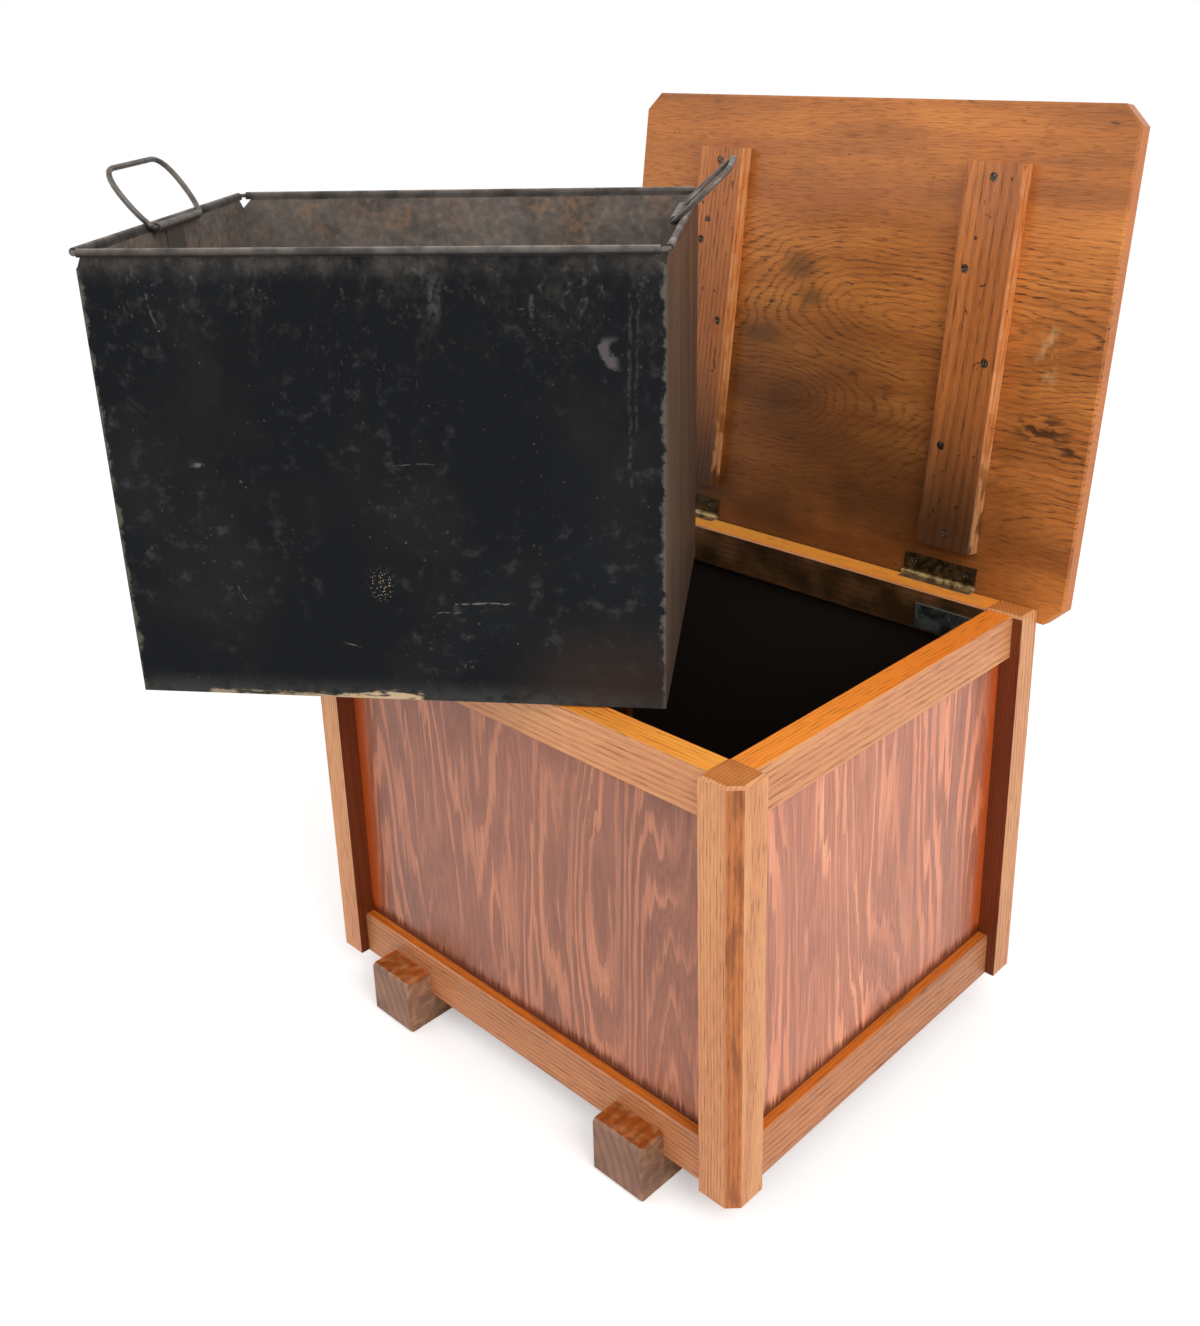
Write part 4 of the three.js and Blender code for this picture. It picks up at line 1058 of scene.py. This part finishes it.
    def bead_metal(self, finish, settings):
        """Rubbed metal with a glint on top and shade underneath."""
        up = finish.parts(finish.normal)[2]
        polish = finish.noise(44, detail=4.0, roughness=0.6)
        metal = finish.mix(finish.span(polish, 0.30, 0.70), DULL_BEAD, settings.bead)
        glint = finish.times(finish.span(up, 0.55, 0.98), finish.span(polish, 0.36, 0.66, 0.25, 1.0), 0.65)
        metal = finish.mix(glint, metal, BEAD_GLINT)
        return finish.mix(finish.times(finish.span(up, 0.2, -0.6), 0.8), metal, BEAD_SHADE)


class FinishHandles(Operator):
    """Drawn wire of the handles and their rolled sleeves, with rivets"""
    bl_idname = "scuttle.finish_handles"
    bl_label = "Finish the handles"

    def execute(self, context):
        settings = context.scene.scuttle_bin
        wire = steel_wire("handle_wire_steel", settings)
        sleeve = steel_wire("sleeve_steel", settings)
        radius = context.scene.scuttle_fitting.rivet_radius
        turn = math.radians(LINER_TURN)
        for hand, way in (("left", 1), ("right", -1)):
            paint("handle_" + hand, wire)
            paint("handle_sleeve_" + hand, sleeve)
            inward = (way * math.cos(turn), way * math.sin(turn), 0)
            for number, deep in enumerate(RIVETS_DEEP[hand], 1):
                place = liner_point(-way * RIVET_ALONG, deep, RIVET_HIGH)
                domed_head(f"sleeve_{hand}_rivet_{number}", place, inward, radius, RIVET_RISE,
                           "liner", sleeve)
        return {"FINISHED"}


class BuildStage(Operator):
    """Plain pale floor, even sky, two soft lamps and the camera"""
    bl_idname = "scuttle.build_stage"
    bl_label = "Build the stage"

    def execute(self, context):
        settings = context.scene.scuttle_stage
        self.floor(settings)
        self.sky(context.scene, settings)
        for name, power, place, size in LAMPS:
            self.lamp(name, place, size, getattr(settings, power))
        self.camera(context.scene, settings)
        context.scene.view_settings.view_transform = "Standard"
        return {"FINISHED"}

    def floor(self, settings):
        """A plain floor with a little light of its own, which only the camera sees."""
        half = settings.floor_half
        data = bpy.data.meshes.new("studio_floor")
        data.from_pydata([(-half, -half, 0), (half, -half, 0), (half, half, 0), (-half, half, 0)], [],
                         [(0, 1, 2, 3)])
        floor = bpy.data.objects.new("studio_floor", data)
        bpy.context.scene.collection.objects.link(floor)
        finish = Finish("pale_floor", settings.floor, Specular_IOR_Level=0.0)
        seen = finish.add("ShaderNodeLightPath").outputs["Is Camera Ray"]
        glow = finish.add("ShaderNodeEmission", WHITE, finish.times(seen, FLOOR_GLOW))
        both = finish.add("ShaderNodeAddShader", finish.shader.outputs[0], glow.outputs[0])
        finish.feed(finish.tree.nodes["Material Output"].inputs["Surface"], both.outputs[0])
        data.materials.append(finish.done(0.9))

    def sky(self, scene, settings):
        """Even light on the piece, and plain white where a ray sees the sky itself."""
        world = bpy.data.worlds.new("studio_sky")
        world.use_nodes = True
        wiring = Wiring(world.node_tree)
        wiring.tree.nodes.clear()
        rays = wiring.add("ShaderNodeLightPath").outputs
        seen = wiring.math("MAXIMUM", rays["Is Camera Ray"], rays["Is Glossy Ray"])
        seen = wiring.math("MAXIMUM", seen, rays["Is Transmission Ray"])
        lit = wiring.add("ShaderNodeBackground", WHITE, settings.sky)
        white = wiring.add("ShaderNodeBackground", WHITE, 1.0)
        choose = wiring.add("ShaderNodeMixShader", seen, lit.outputs[0], white.outputs[0])
        wiring.add("ShaderNodeOutputWorld", choose.outputs[0])
        scene.world = world

    def lamp(self, name, place, size, power):
        data = bpy.data.lights.new(name, "AREA")
        data.shape = "SQUARE"
        data.size = size
        data.energy = power
        lamp = bpy.data.objects.new(name, data)
        bpy.context.scene.collection.objects.link(lamp)
        lamp.location = place
        lamp.rotation_mode = "QUATERNION"
        lamp.rotation_quaternion = (Vector(LAMP_AIM) - Vector(place)).to_track_quat("-Z", "Y")

    def camera(self, scene, settings):
        forward = Vector(CAMERA_FORWARD).normalized()
        level = Vector(CAMERA_LEVEL).normalized()
        rise = level.cross(forward).normalized()
        roll = math.radians(CAMERA_ROLL)
        right = level * math.cos(roll) + rise * math.sin(roll)
        up = rise * math.cos(roll) - level * math.sin(roll)
        data = bpy.data.cameras.new("photo_camera")
        data.sensor_width = CAMERA_SENSOR
        data.lens = settings.lens
        data.shift_y = CAMERA_SHIFT
        camera = bpy.data.objects.new("photo_camera", data)
        scene.collection.objects.link(camera)
        turn = Matrix((right, up, -forward)).transposed().to_4x4()
        camera.matrix_world = Matrix.Translation(CAMERA_PLACE) @ turn
        scene.camera = camera


class ScuttlePanel(Panel):
    """Sidebar list of the finishes and their settings"""
    bl_idname = "SCUTTLE_PT_sidebar"
    bl_label = "Coal scuttle"
    bl_space_type = "VIEW_3D"
    bl_region_type = "UI"
    bl_category = "Coal scuttle"

    def draw(self, context):
        for heading, group, _, operators in SECTIONS:
            box = self.layout.box()
            box.label(text=heading)
            settings = getattr(context.scene, group)
            for name in settings.bl_rna.properties.keys():
                if name not in ("rna_type", "name"):
                    box.prop(settings, name)
            for operator in operators:
                box.operator(operator.bl_idname)


# heading, name and class of the settings, and operators of each part of the sidebar
SECTIONS = (
    ("Box oak", "scuttle_oak", BoxOakSettings, (FinishPosts, FinishRails)),
    ("Panels", "scuttle_panel", PanelSettings, (FinishPanels, FinishFloorBoard)),
    ("Lid", "scuttle_lid", LidSettings, (FinishLidBoards, FinishBattens)),
    ("Fittings", "scuttle_fitting", FittingSettings,
     (FinishRunners, FinishHinges, FinishScrews, FinishPlate)),
    ("Liner", "scuttle_bin", BinSettings, (FinishBin, FinishHandles)),
    ("Stage", "scuttle_stage", StageSettings, (BuildStage,)),
)


def register():
    for _, name, group, operators in SECTIONS:
        bpy.utils.register_class(group)
        setattr(bpy.types.Scene, name, PointerProperty(type=group))
        for operator in operators:
            bpy.utils.register_class(operator)
    bpy.utils.register_class(ScuttlePanel)


def unregister():
    bpy.utils.unregister_class(ScuttlePanel)
    for _, name, group, operators in SECTIONS:
        for operator in operators:
            bpy.utils.unregister_class(operator)
        delattr(bpy.types.Scene, name)
        bpy.utils.unregister_class(group)


def main():
    register()
    for _, _, _, operators in SECTIONS:
        for operator in operators:
            family, action = operator.bl_idname.split(".")
            getattr(getattr(bpy.ops, family), action)()


if __name__ == "__main__":
    main()
